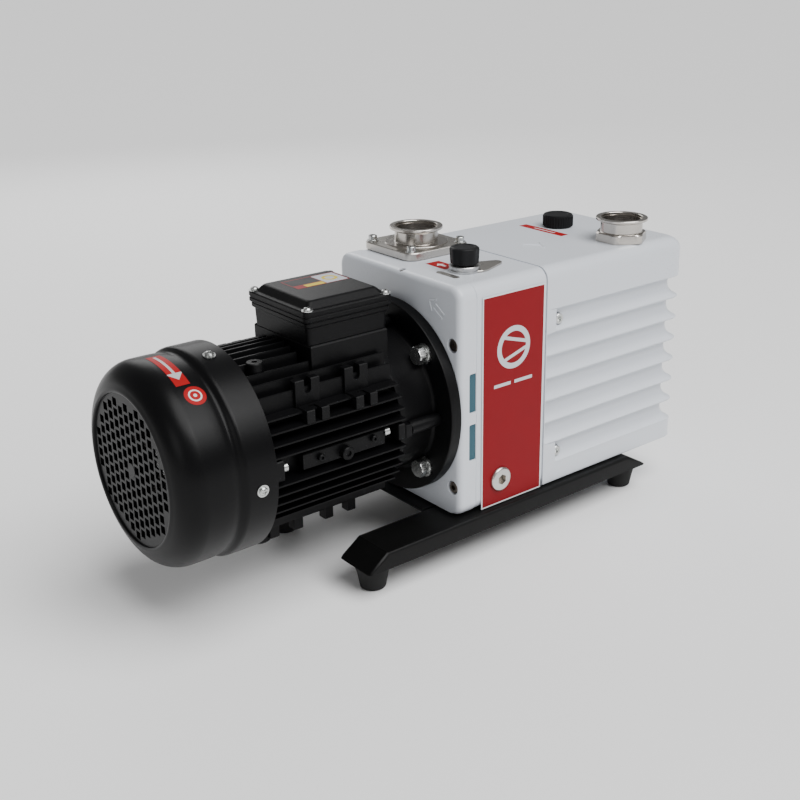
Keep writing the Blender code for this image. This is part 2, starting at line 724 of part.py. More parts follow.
def build_fan():
    shaft = (0, SHAFT_Z)
    turns = 7
    outline = []
    for k in range(turns):
        middle = 2 * math.pi * k / turns
        for radius, off in ((22.0, -0.30), (22.0, -0.09), (FAN_R, -0.025), (FAN_R, 0.025), (22.0, 0.09), (22.0, 0.30)):
            angle = middle + off
            outline.append((radius * math.cos(angle), SHAFT_Z + radius * math.sin(angle)))
    fan = prism("cooling_fan", "X", outline, -256.0, -232.0, POLYMER)
    cut(fan, hole("fan", "X", shaft, SHAFT_R + RUN, -262.0, -226.0))

    shoulder = []
    for k in range(7):
        angle = math.radians(15 * k)
        shoulder.append(
            (
                COVER_END + COVER_SHOULDER * (1 - math.sin(angle)),
                COVER_FRONT_R - COVER_SHOULDER * (1 - math.cos(angle)),
            )
        )
    face = COVER_END + 2.0
    outer = [(COVER_START, COVER_R), (COVER_STEP_X + 1, COVER_R), (COVER_STEP_X, COVER_FRONT_R)]
    outer += shoulder[:-1] + [(COVER_END, GRILLE_R), (face, GRILLE_R - 1.0), (face, 0)]
    inside = [(face + COVER_T, 0), (face + COVER_T, GRILLE_R - 1.0)]
    for x, radius in reversed(shoulder[:-1]):
        inside.append((x + COVER_T * 0.8, radius - COVER_T * 0.8))
    inside += [(COVER_STEP_X + 2, COVER_FRONT_R - COVER_T), (COVER_STEP_X + 3, COVER_R - COVER_T)]
    inside += [(COVER_START, COVER_R - COVER_T)]

    cover = revolve_shell("fan_cover", shaft, outer + inside, BLACK, 40)
    cells = []
    step = 17.0
    for i in range(-3, 4):
        for j in range(-3, 4):
            if math.hypot(i, j) * step + 8.0 < GRILLE_R - 4:
                y = i * step
                z = SHAFT_Z + j * step
                wide, tall = (6.2, 4.4) if (i + j) % 2 else (4.4, 6.2)
                cells.append(((COVER_END - 5, y - wide, z - tall), (face + 8, y + wide, z + tall)))
    cut(cover, blocks("cut_grille", cells, BLACK))


def revolve_shell(name, centre, profile, look, segments):
    """A shell whose profile runs along the outside to the axis and back along the inside."""
    verts = []
    rings = []
    for along, radius in profile:
        first = len(verts)
        if radius == 0:
            verts.append((along, centre[0], centre[1]))
            rings.append([first] * segments)
            continue
        verts += [(along, a, b) for a, b in circle(centre, radius, segments)]
        rings.append(list(range(first, first + segments)))
    faces = []
    for low, high in zip(rings, rings[1:] + rings[:1]):
        if len(set(low)) == 1 and len(set(high)) == 1:
            continue
        for i in range(segments):
            j = (i + 1) % segments
            corners = tuple(dict.fromkeys((low[i], low[j], high[j], high[i])))
            faces.append(corners)
    return make(name, verts, faces, look)


def build_terminals():
    x0, x1 = LID_X
    middle = (x0 + x1) / 2
    z0, z1 = LID_Z

    def frame_at(dx, dy, radius=6.0):
        return rounded((middle - dx, -dy), (middle + dx, dy), radius)

    half = (x1 - x0) / 2
    box = stack(
        "terminal_box",
        "Z",
        [
            (PAD_Z + GAP, frame_at(34.0, 31.0)),
            (PAD_Z + 8, frame_at(34.0, 31.0)),
            (PAD_Z + 11, frame_at(half - 3.5, LID_Y - 3.5)),
            (z0 - GAP, frame_at(half - 2.0, LID_Y - 2.0)),
        ],
        BLACK,
    )
    inner = rounded((middle - half + 9, -LID_Y + 9), (middle + half - 9, LID_Y - 9), 4.0)
    gland = (middle, PAD_Z + 18)
    cut(
        box,
        prism("cut_terminal_space", "Z", inner, PAD_Z + 12, z0 + 5, BLACK),
        hole("gland", "Y", gland, 4.3, LID_Y - 15, LID_Y + 5, 16),
    )
    lid = stack(
        "terminal_lid",
        "Z",
        [
            (z0, frame_at(half, LID_Y, 7.0)),
            (z1 - 8.0, frame_at(half, LID_Y, 7.0)),
            (z1 - 6.5, frame_at(half - 2.0, LID_Y - 2.0, 6.0)),
            (z1 - 5.5, frame_at(half - 8.0, LID_Y - 8.0, 5.0)),
            (z1, frame_at(half - 12.0, LID_Y - 12.0, 5.0)),
        ],
        BLACK,
    )
    cut(lid, prism("cut_lid_space", "Z", inner, z0 - 5, z0 + 5, BLACK))
    block("terminal_block", (middle - 20, -15, PAD_Z + 12 + GAP), (middle + 20, 15, PAD_Z + 22), POLYMER)
    wall = LID_Y - 1.7
    stack(
        "cable_gland",
        "Y",
        [
            (wall - 12, circle(gland, 3.8, 24)),
            (wall, circle(gland, 3.8, 24)),
            (wall, hexagon(gland, 5.5, 24)),
            (wall + 8, hexagon(gland, 5.5, 24)),
            (wall + 9, circle(gland, 5.0, 24)),
            (wall + 16, circle(gland, 4.4, 24)),
        ],
        POLYMER,
    )


clear()
WHITE = finish_of("white_casting", (0.80, 0.81, 0.82), 0.0, 0.4)
BLACK = finish_of("black_paint", (0.03, 0.03, 0.032), 0.0, 0.45)
STEEL = finish_of("steel", (0.62, 0.62, 0.62), 1.0, 0.3)
IRON = finish_of("iron", (0.28, 0.28, 0.29), 1.0, 0.5)
ALLOY = finish_of("alloy", (0.7, 0.7, 0.71), 1.0, 0.4)
RUBBER = finish_of("rubber", (0.03, 0.03, 0.03), 0.0, 0.8)
POLYMER = finish_of("polymer", (0.06, 0.06, 0.065), 0.0, 0.6)
RED = finish_of("red_label", (0.42, 0.02, 0.03), 0.0, 0.4)
GLASS = finish_of("glass", (0.8, 0.85, 0.85), 0.0, 0.05)
build_base()
build_castings()
build_label()
build_ports()
build_small_parts()
build_cartridge()
build_coupling()
build_motor()
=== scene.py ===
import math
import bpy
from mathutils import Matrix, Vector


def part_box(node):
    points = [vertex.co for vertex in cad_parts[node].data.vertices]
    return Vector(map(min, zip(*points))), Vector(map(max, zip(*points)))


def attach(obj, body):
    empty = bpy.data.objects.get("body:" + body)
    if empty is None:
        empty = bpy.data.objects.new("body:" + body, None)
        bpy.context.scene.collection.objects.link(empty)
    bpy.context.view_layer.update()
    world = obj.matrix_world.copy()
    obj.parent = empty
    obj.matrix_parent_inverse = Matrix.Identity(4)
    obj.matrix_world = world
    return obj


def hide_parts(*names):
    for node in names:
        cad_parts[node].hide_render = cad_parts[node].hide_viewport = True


bl_info = {
    "name": "Rotary Vane Vacuum Pump",
    "version": (1, 0, 0),
    "blender": (4, 5, 0),
    "location": "View3D > Sidebar > Vacuum Pump",
    "description": "Builds a two-stage rotary vane vacuum pump piece by piece on its packed frame",
    "category": "Add Mesh",
}

import bpy
from mathutils import Matrix, Vector

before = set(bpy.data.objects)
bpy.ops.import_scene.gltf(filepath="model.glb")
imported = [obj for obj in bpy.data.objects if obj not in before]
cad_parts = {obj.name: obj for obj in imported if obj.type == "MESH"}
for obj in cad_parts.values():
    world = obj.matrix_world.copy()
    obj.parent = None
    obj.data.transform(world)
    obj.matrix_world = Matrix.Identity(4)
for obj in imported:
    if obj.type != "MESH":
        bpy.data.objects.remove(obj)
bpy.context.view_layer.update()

MM = 0.001
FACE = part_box("coupling_housing")[0].x
SHAFT_Z = round((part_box("motor_shaft")[0].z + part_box("motor_shaft")[1].z) / 2 / MM, 2)
TAU = 2 * math.pi
LOOKS = {}

# Places in millimetres, with x from the housing's face
SHAFT = (0, SHAFT_Z)
WHITE_Z = (45.5, 280.0)  # underside and top of the white castings
LABEL = (28.7, 110.8, 46.4, 266.3)  # x from and to, z from and to
DRAIN = (53.7, 73.5)  # x, z
SIGHT = (0, 112.0)  # y, z
INLET = (67.0, 51.0)  # x, y
OUTLET = (257.0, -61.0)
FILLER = (251.0, 27.5)
BALLAST = (48.6, -46.0)
BORE = 20.5  # both ports' inner radius
BOLTS = 58.34  # motor flange bolts, across and up from the shaft
HOUSING_SCREW_Y = 84.5
HOUSING_SCREW_Z = (223.0, 76.0)
OIL_BOX_SCREWS = ((135.5, 223.5), (137.5, 78.5))  # x, z
DOT = (-252.5, 126.0, 0.15)  # round sticker: x, turn in degrees, lift


def mm(value):
    return value / MM


def span(node):
    """A solid's lowest and highest corners in millimetres, with x from the housing's face."""
    return [(mm(corner.x - FACE), mm(corner.y), mm(corner.z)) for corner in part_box(node)]


# Meshes. Lengths are millimetres, and x is measured from the face the motor bolts to.


def place(along, a, b, axis):
    """A point from its place along an axis and its two other coordinates, in their order."""
    if axis == "X":
        return (along, a, b)
    if axis == "Y":
        return (a, along, b)
    return (a, b, along)


def signed_volume(points, faces):
    total = 0.0
    for face in faces:
        first = Vector(points[face[0]])
        for second, third in zip(face[1:], face[2:]):
            total += first.dot(Vector(points[second]).cross(Vector(points[third])))
    return total


def make(name, verts, faces, look, smooth=32):
    """A mesh object from millimetre points, with its faces outwards and its edges shaded."""
    points = [(FACE + x * MM, y * MM, z * MM) for x, y, z in verts]
    mesh = bpy.data.meshes.new(name)
    mesh.from_pydata(points, [], faces)
    if signed_volume(verts, faces) < 0:
        mesh.flip_normals()
    mesh.materials.append(LOOKS[look])
    thing = bpy.data.objects.new(name, mesh)
    bpy.context.scene.collection.objects.link(thing)
    return soften(thing, smooth)


def soften(thing, smooth=32):
    """Smooth shading that keeps flat faces flat and edges crisp."""
    thing.data.shade_smooth()
    thing.data.set_sharp_from_angle(angle=math.radians(smooth))
    if "Weighted normals" not in thing.modifiers:
        weighted = thing.modifiers.new("Weighted normals", "WEIGHTED_NORMAL")
        weighted.keep_sharp = True
    return thing


def settle(thing, smooth=32):
    """Turns a piece's modifiers into its mesh."""
    graph = bpy.context.evaluated_depsgraph_get()
    mesh = bpy.data.meshes.new_from_object(thing.evaluated_get(graph))
    thing.modifiers.clear()
    thing.data = mesh
    mesh.name = thing.name
    return soften(thing, smooth)


def combine(thing, operation, tools, smooth=32):
    """Cuts tools out of a piece, or joins them to it, and removes them."""
    thing.modifiers.clear()
    for tool in tools:
        tool.modifiers.clear()
        step = thing.modifiers.new(tool.name, "BOOLEAN")
        step.operation = operation
        step.solver = "EXACT"
        step.object = tool
    settle(thing, smooth)
    for tool in tools:
        bpy.data.objects.remove(tool)
    return thing


def cut(thing, *tools, smooth=32):
    return combine(thing, "DIFFERENCE", tools, smooth)


def merge(name, *things):
    """Several meshes as one piece."""
    verts = []
    faces = []
    looks = []
    marks = []
    for thing in things:
        first = len(verts)
        mesh = thing.data
        verts += [tuple(v.co) for v in mesh.vertices]
        look = next(each for each in mesh.materials if each)
        if look not in looks:
            looks.append(look)
        for face in mesh.polygons:
            faces.append([first + i for i in face.vertices])
            marks.append(looks.index(look))
    joined = bpy.data.meshes.new(name)
    joined.from_pydata(verts, [], faces)
    for look in looks:
        joined.materials.append(look)
    for face, mark in zip(joined.polygons, marks):
        face.material_index = mark
    for thing in things:
        bpy.data.objects.remove(thing)
    piece = bpy.data.objects.new(name, joined)
    bpy.context.scene.collection.objects.link(piece)
    return soften(piece)


def stack(name, axis, sections, look, smooth=32):
    """A solid through outlines of equal length, each (along, outline)."""
    count = len(sections[0][1])
    verts = [place(along, a, b, axis) for along, outline in sections for a, b in outline]
    faces = []
    for level in range(len(sections) - 1):
        low = level * count
        high = low + count
        for i in range(count):
            j = (i + 1) % count
            faces.append((low + i, low + j, high + j, high + i))
    faces.append(tuple(reversed(range(count))))
    faces.append(tuple(range(len(verts) - count, len(verts))))
    return make(name, verts, faces, look, smooth)


def prism(name, axis, outline, low, high, look):
    return stack(name, axis, [(low, outline), (high, outline)], look)


def lathe(name, axis, centre, profile, look, segments=96, smooth=32):
    """A profile of (along, radius) turned about an axis: a ring if it never meets the axis."""
    verts = []
    rings = []
    for along, radius in profile:
        first = len(verts)
        if radius == 0:
            verts.append(place(along, centre[0], centre[1], axis))
            rings.append([first] * segments)
            continue
        verts += [place(along, a, b, axis) for a, b in circle(centre, radius, segments)]
        rings.append(list(range(first, first + segments)))
    rings.append(rings[0])
    faces = []
    for low, high in zip(rings, rings[1:]):
        if len(set(low)) == 1 and len(set(high)) == 1:
            continue
        for i in range(segments):
            j = (i + 1) % segments
            faces.append(tuple(dict.fromkeys((low[i], low[j], high[j], high[i]))))
    return make(name, verts, faces, look, smooth)


def circle(centre, radius, segments=96):
    turns = [TAU * k / segments for k in range(segments)]
    return [(centre[0] + radius * math.cos(t), centre[1] + radius * math.sin(t)) for t in turns]


def hexagon(centre, flats, segments=48, corner=1.0):
    """A hexagon with its corners turned down, as many points as a circle it stacks with."""
    points = []
    for turn in [TAU * k / segments for k in range(segments)]:
        nearest = math.radians(60) * round(turn / math.radians(60))
        reach = min(flats / math.cos(turn - nearest), flats * 1.1547 - corner)
        points.append((centre[0] + reach * math.cos(turn), centre[1] + reach * math.sin(turn)))
    return points


def rounded(low, high, radius, steps=9):
    """A rectangle from its low to its high corner with rounded corners."""
    corners = [
        (high[0] - radius, high[1] - radius, 0),
        (low[0] + radius, high[1] - radius, 90),
        (low[0] + radius, low[1] + radius, 180),
        (high[0] - radius, low[1] + radius, 270),
    ]
    points = []
    for a, b, start in corners:
        for k in range(steps):
            turn = math.radians(start + 90 * k / (steps - 1))
            points.append((a + radius * math.cos(turn), b + radius * math.sin(turn)))
    return points


def arc(a, b, radius, start, end, steps=6):
    """Points of an arc about (a, b) in degrees."""
    turns = [math.radians(start + (end - start) * k / (steps - 1)) for k in range(steps)]
    return [(a + radius * math.cos(t), b + radius * math.sin(t)) for t in turns]


def block(name, low, high, look, edge=0.0):
    """A box, with its long edges softened by edge."""
    outline = rounded(low[:2], high[:2], max(edge, 0.01), 4 if edge else 2)
    if not edge:
        return prism(name, "Z", outline, low[2], high[2], look)
    inner = rounded((low[0] + edge, low[1] + edge), (high[0] - edge, high[1] - edge), 0.01, 4)
    levels = [(low[2], inner), (low[2] + edge, outline), (high[2] - edge, outline), (high[2], inner)]
    return stack(name, "Z", levels, look)


def drill(axis, centre, radius, low, high, segments=48):
    return prism("tool", axis, circle(centre, radius, segments), low, high, "steel")


def ribbon(name, axis, at, points, width, height, look):
    """A raised line of even width drawn on a plane across an axis."""
    verts = []
    faces = []
    for (a0, b0), (a1, b1) in zip(points, points[1:]):
        length = math.hypot(a1 - a0, b1 - b0)
        off_a = (b1 - b0) / length * width / 2
        off_b = -(a1 - a0) / length * width / 2
        first = len(verts)
        for level, grow in ((at, 1.3), (at + height, 0.6)):
            for a, b, sign in ((a0, b0, 1), (a1, b1, 1), (a1, b1, -1), (a0, b0, -1)):
                verts.append(place(level, a + off_a * sign * grow, b + off_b * sign * grow, axis))
        for face in ((3, 2, 1, 0), (4, 5, 6, 7), (0, 1, 5, 4), (1, 2, 6, 5), (2, 3, 7, 6), (3, 0, 4, 7)):
            faces.append(tuple(first + i for i in face))
    return make(name, verts, faces, look)


def ring_film(name, surface, size, hole, radius, look):
    """A thin flat sticker with a round hole, as rays from the hole's rim to the sticker's edge."""
    half_u, half_v = size[0] / 2, size[1] / 2
    turns = [TAU * k / 64 for k in range(64)]
    turns += [math.atan2(b * half_v - hole[1], a * half_u - hole[0]) % TAU for a in (-1, 1) for b in (-1, 1)]
    spots = []
    for turn in sorted(turns):
        across, up = math.cos(turn), math.sin(turn)
        reach_u = ((half_u if across > 0 else -half_u) - hole[0]) / across if abs(across) > 1e-9 else 1e9
        reach_v = ((half_v if up > 0 else -half_v) - hole[1]) / up if abs(up) > 1e-9 else 1e9
        reach = min(reach_u, reach_v)
        for distance in (radius, reach):
            spots.append((hole[0] + across * distance, hole[1] + up * distance))
    count = len(spots)
    faces = [(i, i + 1, (i + 3) % count, (i + 2) % count) for i in range(0, count, 2)]
    return film(name, [surface(u, v) for u, v in spots], spots, faces, look)


def patch(name, surface, size, look, steps=(12, 12)):
    """A thin sticker on a surface given as point(u, v), with its own map in millimetres."""
    wide, tall = size
    verts = []
    spots = []
    for j in range(steps[1] + 1):
        for i in range(steps[0] + 1):
            u = wide * (i / steps[0] - 0.5)
            v = tall * (j / steps[1] - 0.5)
            verts.append(surface(u, v))
            spots.append((u, v))
    faces = []
    row = steps[0] + 1
    for j in range(steps[1]):
        for i in range(steps[0]):
            first = j * row + i
            faces.append((first, first + 1, first + row + 1, first + row))
    return film(name, verts, spots, faces, look)


def film(name, verts, spots, faces, look):
    """A printed film's mesh, with its own map in millimetres."""
    points = [(FACE + x * MM, y * MM, z * MM) for x, y, z in verts]
    mesh = bpy.data.meshes.new(name)
    mesh.from_pydata(points, [], faces)
    layer = mesh.uv_layers.new(name="Print")
    for loop in mesh.loops:
        layer.data[loop.index].uv = spots[loop.vertex_index]
    mesh.shade_smooth()
    mesh.materials.append(LOOKS[look])
    thing = bpy.data.objects.new(name, mesh)
    bpy.context.scene.collection.objects.link(thing)
    return thing


def hand_over(thing, body="frame", replaces=()):
    """Parents a finished piece to its body and hides the solids it stands for."""
    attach(thing, body)
    if replaces:
        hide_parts(*replaces)
    return thing


# Node graphs


class Wire:
    """A socket whose arithmetic adds Math nodes."""

    def __init__(self, tree, socket):
        self.tree = tree
        self.socket = socket

    def math(self, operation, *others):
        node = self.tree.nodes.new("ShaderNodeMath")
        node.operation = operation
        for target, value in zip(node.inputs, (self, *others)):
            feed(self.tree, target, value)
        return Wire(self.tree, node.outputs[0])

    def __add__(self, other):
        return self.math("ADD", other)

    def __sub__(self, other):
        return self.math("SUBTRACT", other)

    def __rsub__(self, other):
        return (self * -1.0) + other

    def __mul__(self, other):
        return self.math("MULTIPLY", other)

    def __abs__(self):
        return self.math("ABSOLUTE")

    __radd__ = __add__
    __rmul__ = __mul__

    def least(self, other):
        return self.math("MINIMUM", other)

    def most(self, other):
        return self.math("MAXIMUM", other)

    def inside(self, soft=0.06):
        """1 where a signed distance is negative and 0 outside, with a thin soft edge."""
        return (self * (-0.5 / soft) + 0.5).most(0.0).least(1.0)


def feed(tree, target, value):
    """Links a wire to a socket, or sets the socket's value."""
    if isinstance(value, Wire):
        tree.links.new(value.socket, target)
    else:
        target.default_value = value


class Graph:
    """Adds nodes to a tree."""

    def __init__(self, tree):
        self.tree = tree

    def add(self, kind, settings=(), inputs=(), out=0):
        """One node: its type, its settings, its sockets' values or wires, and the output wanted."""
        node = self.tree.nodes.new(kind)
        for name, value in dict(settings).items():
            setattr(node, name, value)
        for name, value in dict(inputs).items():
            feed(self.tree, node.inputs[name], value)
        return Wire(self.tree, node.outputs[out])


def finish_look(name, colour, rough, metallic=0.0, coat=0.0):
    """A material, its graph and its shader, with what is even all over set on the shader."""
    look = bpy.data.materials.new(name)
    look.use_nodes = True
    shader = look.node_tree.nodes["Principled BSDF"]
    shader.inputs["Base Color"].default_value = (*colour, 1.0)
    shader.inputs["Roughness"].default_value = rough
    shader.inputs["Metallic"].default_value = metallic
    shader.inputs["Coat Weight"].default_value = coat
    shader.inputs["Coat Roughness"].default_value = 0.25
    shader.inputs["Specular IOR Level"].default_value = 0.14 if max(colour) < 0.03 else 0.4
    LOOKS[name] = look
    return look, Graph(look.node_tree), shader


def spread(graph, low, high, factor):
    """A colour between two, by a wire."""
    node = graph.tree.nodes.new("ShaderNodeMix")
    node.data_type = "RGBA"
    feed(graph.tree, node.inputs[0], factor)
    for socket, value in ((node.inputs[6], low), (node.inputs[7], high)):
        feed(graph.tree, socket, value if isinstance(value, Wire) else (*value, 1.0))
    return Wire(graph.tree, node.outputs[2])


def noise(graph, where, scale, detail=2.0, rough=0.5):
    inputs = {"Vector": where, "Scale": scale, "Detail": detail, "Roughness": rough}
    return graph.add("ShaderNodeTexNoise", {}, inputs, "Fac")


def painted(name, colour, rough, grain, depth, tint=0.05, coat=0.0, wear=0.0):
    """Paint over metal: slow colour and gloss drift, and a fine skin or cast grain."""
    _, graph, shader = finish_look(name, colour, rough, 0.0, coat)
    where = graph.add("ShaderNodeTexCoord", out="Object")
    drift = noise(graph, where, 9.0, 3.0)
    skin = noise(graph, where, grain, 3.0, 0.6)
    dark = tuple(c * (1 - tint) for c in colour)
    light = tuple(min(1.0, c * (1 + tint)) for c in colour)
    shade = spread(graph, dark, light, drift * 0.7 + skin * 0.3)
    if wear:
        specks = (noise(graph, where, 160.0, 4.0, 0.7) - 0.66).most(0.0) * 6.0
        shade = spread(graph, shade, tuple(min(1.0, c + wear) for c in colour), specks.least(1.0))
    feed(graph.tree, shader.inputs["Base Color"], shade)
    feed(graph.tree, shader.inputs["Roughness"], drift * 0.10 + skin * 0.12 + (rough - 0.11))
    bump = {"Height": skin, "Distance": depth, "Strength": 0.6}
    feed(graph.tree, shader.inputs["Normal"], graph.add("ShaderNodeBump", {}, bump))


def machined(name, colour, rough, centre=None, lines=2400.0, depth=0.000004, axis="Z", tint=0.08):
    """Bare metal with tool marks: rings about a centre, or fine brushing along x."""
    _, graph, shader = finish_look(name, colour, rough, 1.0)
    where = graph.add("ShaderNodeTexCoord", out="Object")
    if centre:
        shift = {"Vector": where, "Location": [-c for c in centre]}
        local = graph.add("ShaderNodeMapping", {}, shift)
        split = graph.tree.nodes.new("ShaderNodeSeparateXYZ")
        feed(graph.tree, split.inputs[0], local)
        parts = [Wire(graph.tree, output) for output in split.outputs]
        along = parts.pop("XYZ".index(axis))
        radius = (parts[0] * parts[0] + parts[1] * parts[1]).math("SQRT")
        marks = graph.add("ShaderNodeCombineXYZ", {}, {"X": radius, "Y": along, "Z": 0.0})
    else:
        stretch = {"Vector": where, "Scale": (0.06, 1.0, 1.0)}
        marks = graph.add("ShaderNodeMapping", {}, stretch)
    turned = noise(graph, marks, lines, 2.0, 0.7)
    cloud = noise(graph, where, 60.0, 3.0)
    dark = tuple(c * (1 - tint) for c in colour)
    light = tuple(min(1.0, c * (1 + tint)) for c in colour)
    feed(graph.tree, shader.inputs["Base Color"], spread(graph, dark, light, turned * 0.5 + cloud * 0.5))
    feed(graph.tree, shader.inputs["Roughness"], turned * 0.16 + cloud * 0.14 + (rough - 0.15))
    bump = {"Height": turned, "Distance": depth, "Strength": 0.5}
    feed(graph.tree, shader.inputs["Normal"], graph.add("ShaderNodeBump", {}, bump))


def moulded(name, colour, rough, grain=1400.0, depth=0.00006, tint=0.12):
    """Moulded rubber or plastic with a fine matt grain."""
    painted(name, colour, rough, grain, depth, tint)


def plan_of(graph):
    """Two wires in millimetres: across and up, from a sticker's own map."""
    source = graph.add("ShaderNodeUVMap", {"uv_map": "Print"}, out="UV")
    split = graph.tree.nodes.new("ShaderNodeSeparateXYZ")
    feed(graph.tree, split.inputs[0], source)
    return Wire(graph.tree, split.outputs[0]), Wire(graph.tree, split.outputs[1])


def slab(u, v, centre, half):
    """Signed distance to a rectangle."""
    return (abs(u - centre[0]) - half[0]).most(abs(v - centre[1]) - half[1])


def hoop(u, v, centre, radius, half):
    """Signed distance to a ring of that mean radius and half width."""
    across = u - centre[0]
    up = v - centre[1]
    reach = (across * across + up * up).math("SQRT")
    return abs(reach - radius) - half


def arrow(u, v, tail, tip, half, barb):
    """Signed distance to a level arrow from tail to tip."""
    neck = tip - barb
    shaft = slab(u, v, ((tail + neck) / 2, 0.0), (abs(neck - tail) / 2, half))
    head = (abs(v) + (u - tip) * 0.85).most(neck - u)
    return shaft.least(head)


def print_look(name, colour, layers, rough=0.42):
    """A printed film: each layer is a drawing function and its colour, over a ground colour."""
    _, graph, shader = finish_look(name, colour, rough)
    shader.inputs["Specular IOR Level"].default_value = 0.12
    u, v = plan_of(graph)
    where = graph.add("ShaderNodeTexCoord", out="Object")
    drift = noise(graph, where, 40.0, 3.0)
    shade = spread(graph, tuple(c * 0.94 for c in colour), tuple(min(1, c * 1.05) for c in colour), drift)
    for draw, ink in layers:
        shade = spread(graph, shade, ink, draw(u, v).inside())
    feed(graph.tree, shader.inputs["Base Color"], shade)
    feed(graph.tree, shader.inputs["Roughness"], drift * 0.12 + (rough - 0.06))
    fine = noise(graph, where, 900.0, 2.0)
    bump = {"Height": fine, "Distance": 0.00003, "Strength": 0.4}
    feed(graph.tree, shader.inputs["Normal"], graph.add("ShaderNodeBump", {}, bump))


def node_tree(name, sockets):
    """An empty Geometry Nodes tree with named inputs, and the graph that fills it."""
    tree = bpy.data.node_groups.new(name, "GeometryNodeTree")
    tree.interface.new_socket("Geometry", in_out="INPUT", socket_type="NodeSocketGeometry")
    for label, kind in sockets:
        tree.interface.new_socket(label, in_out="INPUT", socket_type=kind)
    tree.interface.new_socket("Geometry", in_out="OUTPUT", socket_type="NodeSocketGeometry")
    entry = tree.nodes.new("NodeGroupInput")
    wires = {output.name: Wire(tree, output) for output in entry.outputs if output.name}
    return tree, Graph(tree), wires


def close_tree(graph, geometry, look):
    """Realises the instances, sets the material and ends the tree."""
    real = graph.add("GeometryNodeRealizeInstances", {}, {"Geometry": geometry})
    dressed = graph.add("GeometryNodeSetMaterial", {}, {"Geometry": real, "Material": look})
    leave = graph.tree.nodes.new("NodeGroupOutput")
    feed(graph.tree, leave.inputs[0], dressed)


def run_tree(name, tree, seed_mesh, values, smooth=32):
    """Runs a tree on a seed mesh with the named values, and keeps the result as a plain mesh."""
    thing = bpy.data.objects.new(name, seed_mesh)
    bpy.context.scene.collection.objects.link(thing)
    step = thing.modifiers.new(tree.name, "NODES")
    step.node_group = tree
    for item in tree.interface.items_tree:
        if item.in_out == "INPUT" and item.name in values:
            step[item.identifier] = values[item.name]
    return settle(thing, smooth)


def seed_points(name, points, aims, sizes=None):
    """A mesh of loose points, each with the way it faces and its size."""
    mesh = bpy.data.meshes.new(name)
    mesh.from_pydata([(FACE + x * MM, y * MM, z * MM) for x, y, z in points], [], [])
    aim = mesh.attributes.new("aim", "FLOAT_VECTOR", "POINT")
    size = mesh.attributes.new("size", "FLOAT_VECTOR", "POINT")
    for i, way in enumerate(aims):
        aim.data[i].vector = way
        size.data[i].vector = sizes[i] if sizes else (1.0, 1.0, 1.0)
    return mesh


def fastener_tree():
    """One template on every point, turned to face along the point's aim and scaled by its size."""
    title = "Fasteners on points"
    if title in bpy.data.node_groups:
        return bpy.data.node_groups[title]
    tree, graph, wires = node_tree(title, [("Template", "NodeSocketObject"), ("Look", "NodeSocketMaterial")])
    points = graph.add("GeometryNodeMeshToPoints", {}, {"Mesh": wires["Geometry"]})
    shape = graph.add("GeometryNodeObjectInfo", {}, {"Object": wires["Template"]}, "Geometry")
    aim = graph.add("GeometryNodeInputNamedAttribute", {"data_type": "FLOAT_VECTOR"}, {"Name": "aim"})
    size = graph.add("GeometryNodeInputNamedAttribute", {"data_type": "FLOAT_VECTOR"}, {"Name": "size"})
    turn = graph.add("FunctionNodeAlignRotationToVector", {"axis": "Z"}, {"Vector": aim})
    inputs = {"Points": points, "Instance": shape, "Rotation": turn, "Scale": size}
    close_tree(graph, graph.add("GeometryNodeInstanceOnPoints", {}, inputs), wires["Look"])
    return tree


def grille_tree():
    """Rows of cells across a disc, every second row shifted by half a pitch, clear of the rim."""
    tree, graph, wires = node_tree(
        "Grille cells",
        [
            ("Radius", "NodeSocketFloat"),
            ("Pitch", "NodeSocketFloat"),
            ("Cell", "NodeSocketVector"),
            ("Centre", "NodeSocketVector"),
            ("Look", "NodeSocketMaterial"),
        ],
    )
    span = wires["Radius"] * 2.0
    count = (span.math("DIVIDE", wires["Pitch"])).math("FLOOR") + 3.0
    reach = (count - 1.0) * wires["Pitch"]
    sizes = {"Size X": reach, "Size Y": reach, "Vertices X": count, "Vertices Y": count}
    grid = graph.add("GeometryNodeMeshGrid", {}, sizes, "Mesh")
    index = graph.add("GeometryNodeInputIndex")
    row = index.math("MODULO", count)
    odd = row.math("MODULO", 2.0)
    shift = graph.add("ShaderNodeCombineXYZ", {}, {"X": (odd - 0.5) * wires["Pitch"] * 0.5})
    moved = graph.add("GeometryNodeSetPosition", {}, {"Geometry": grid, "Offset": shift})
    position = graph.add("GeometryNodeInputPosition")
    length = graph.add("ShaderNodeVectorMath", {"operation": "LENGTH"}, {0: position}, "Value")
    far = graph.add("FunctionNodeCompare", {"operation": "GREATER_THAN"}, {"A": length, "B": wires["Radius"]})
    kept = graph.add("GeometryNodeDeleteGeometry", {}, {"Geometry": moved, "Selection": far})
    points = graph.add("GeometryNodeMeshToPoints", {}, {"Mesh": kept})
    cell = graph.add("GeometryNodeMeshCube", {}, {"Size": wires["Cell"]}, "Mesh")
    cells = graph.add("GeometryNodeInstanceOnPoints", {}, {"Points": points, "Instance": cell})
    turn = {"Geometry": cells, "Rotation": (0.0, math.pi / 2, 0.0), "Translation": wires["Centre"]}
    close_tree(graph, graph.add("GeometryNodeTransform", {}, turn), wires["Look"])
    return tree


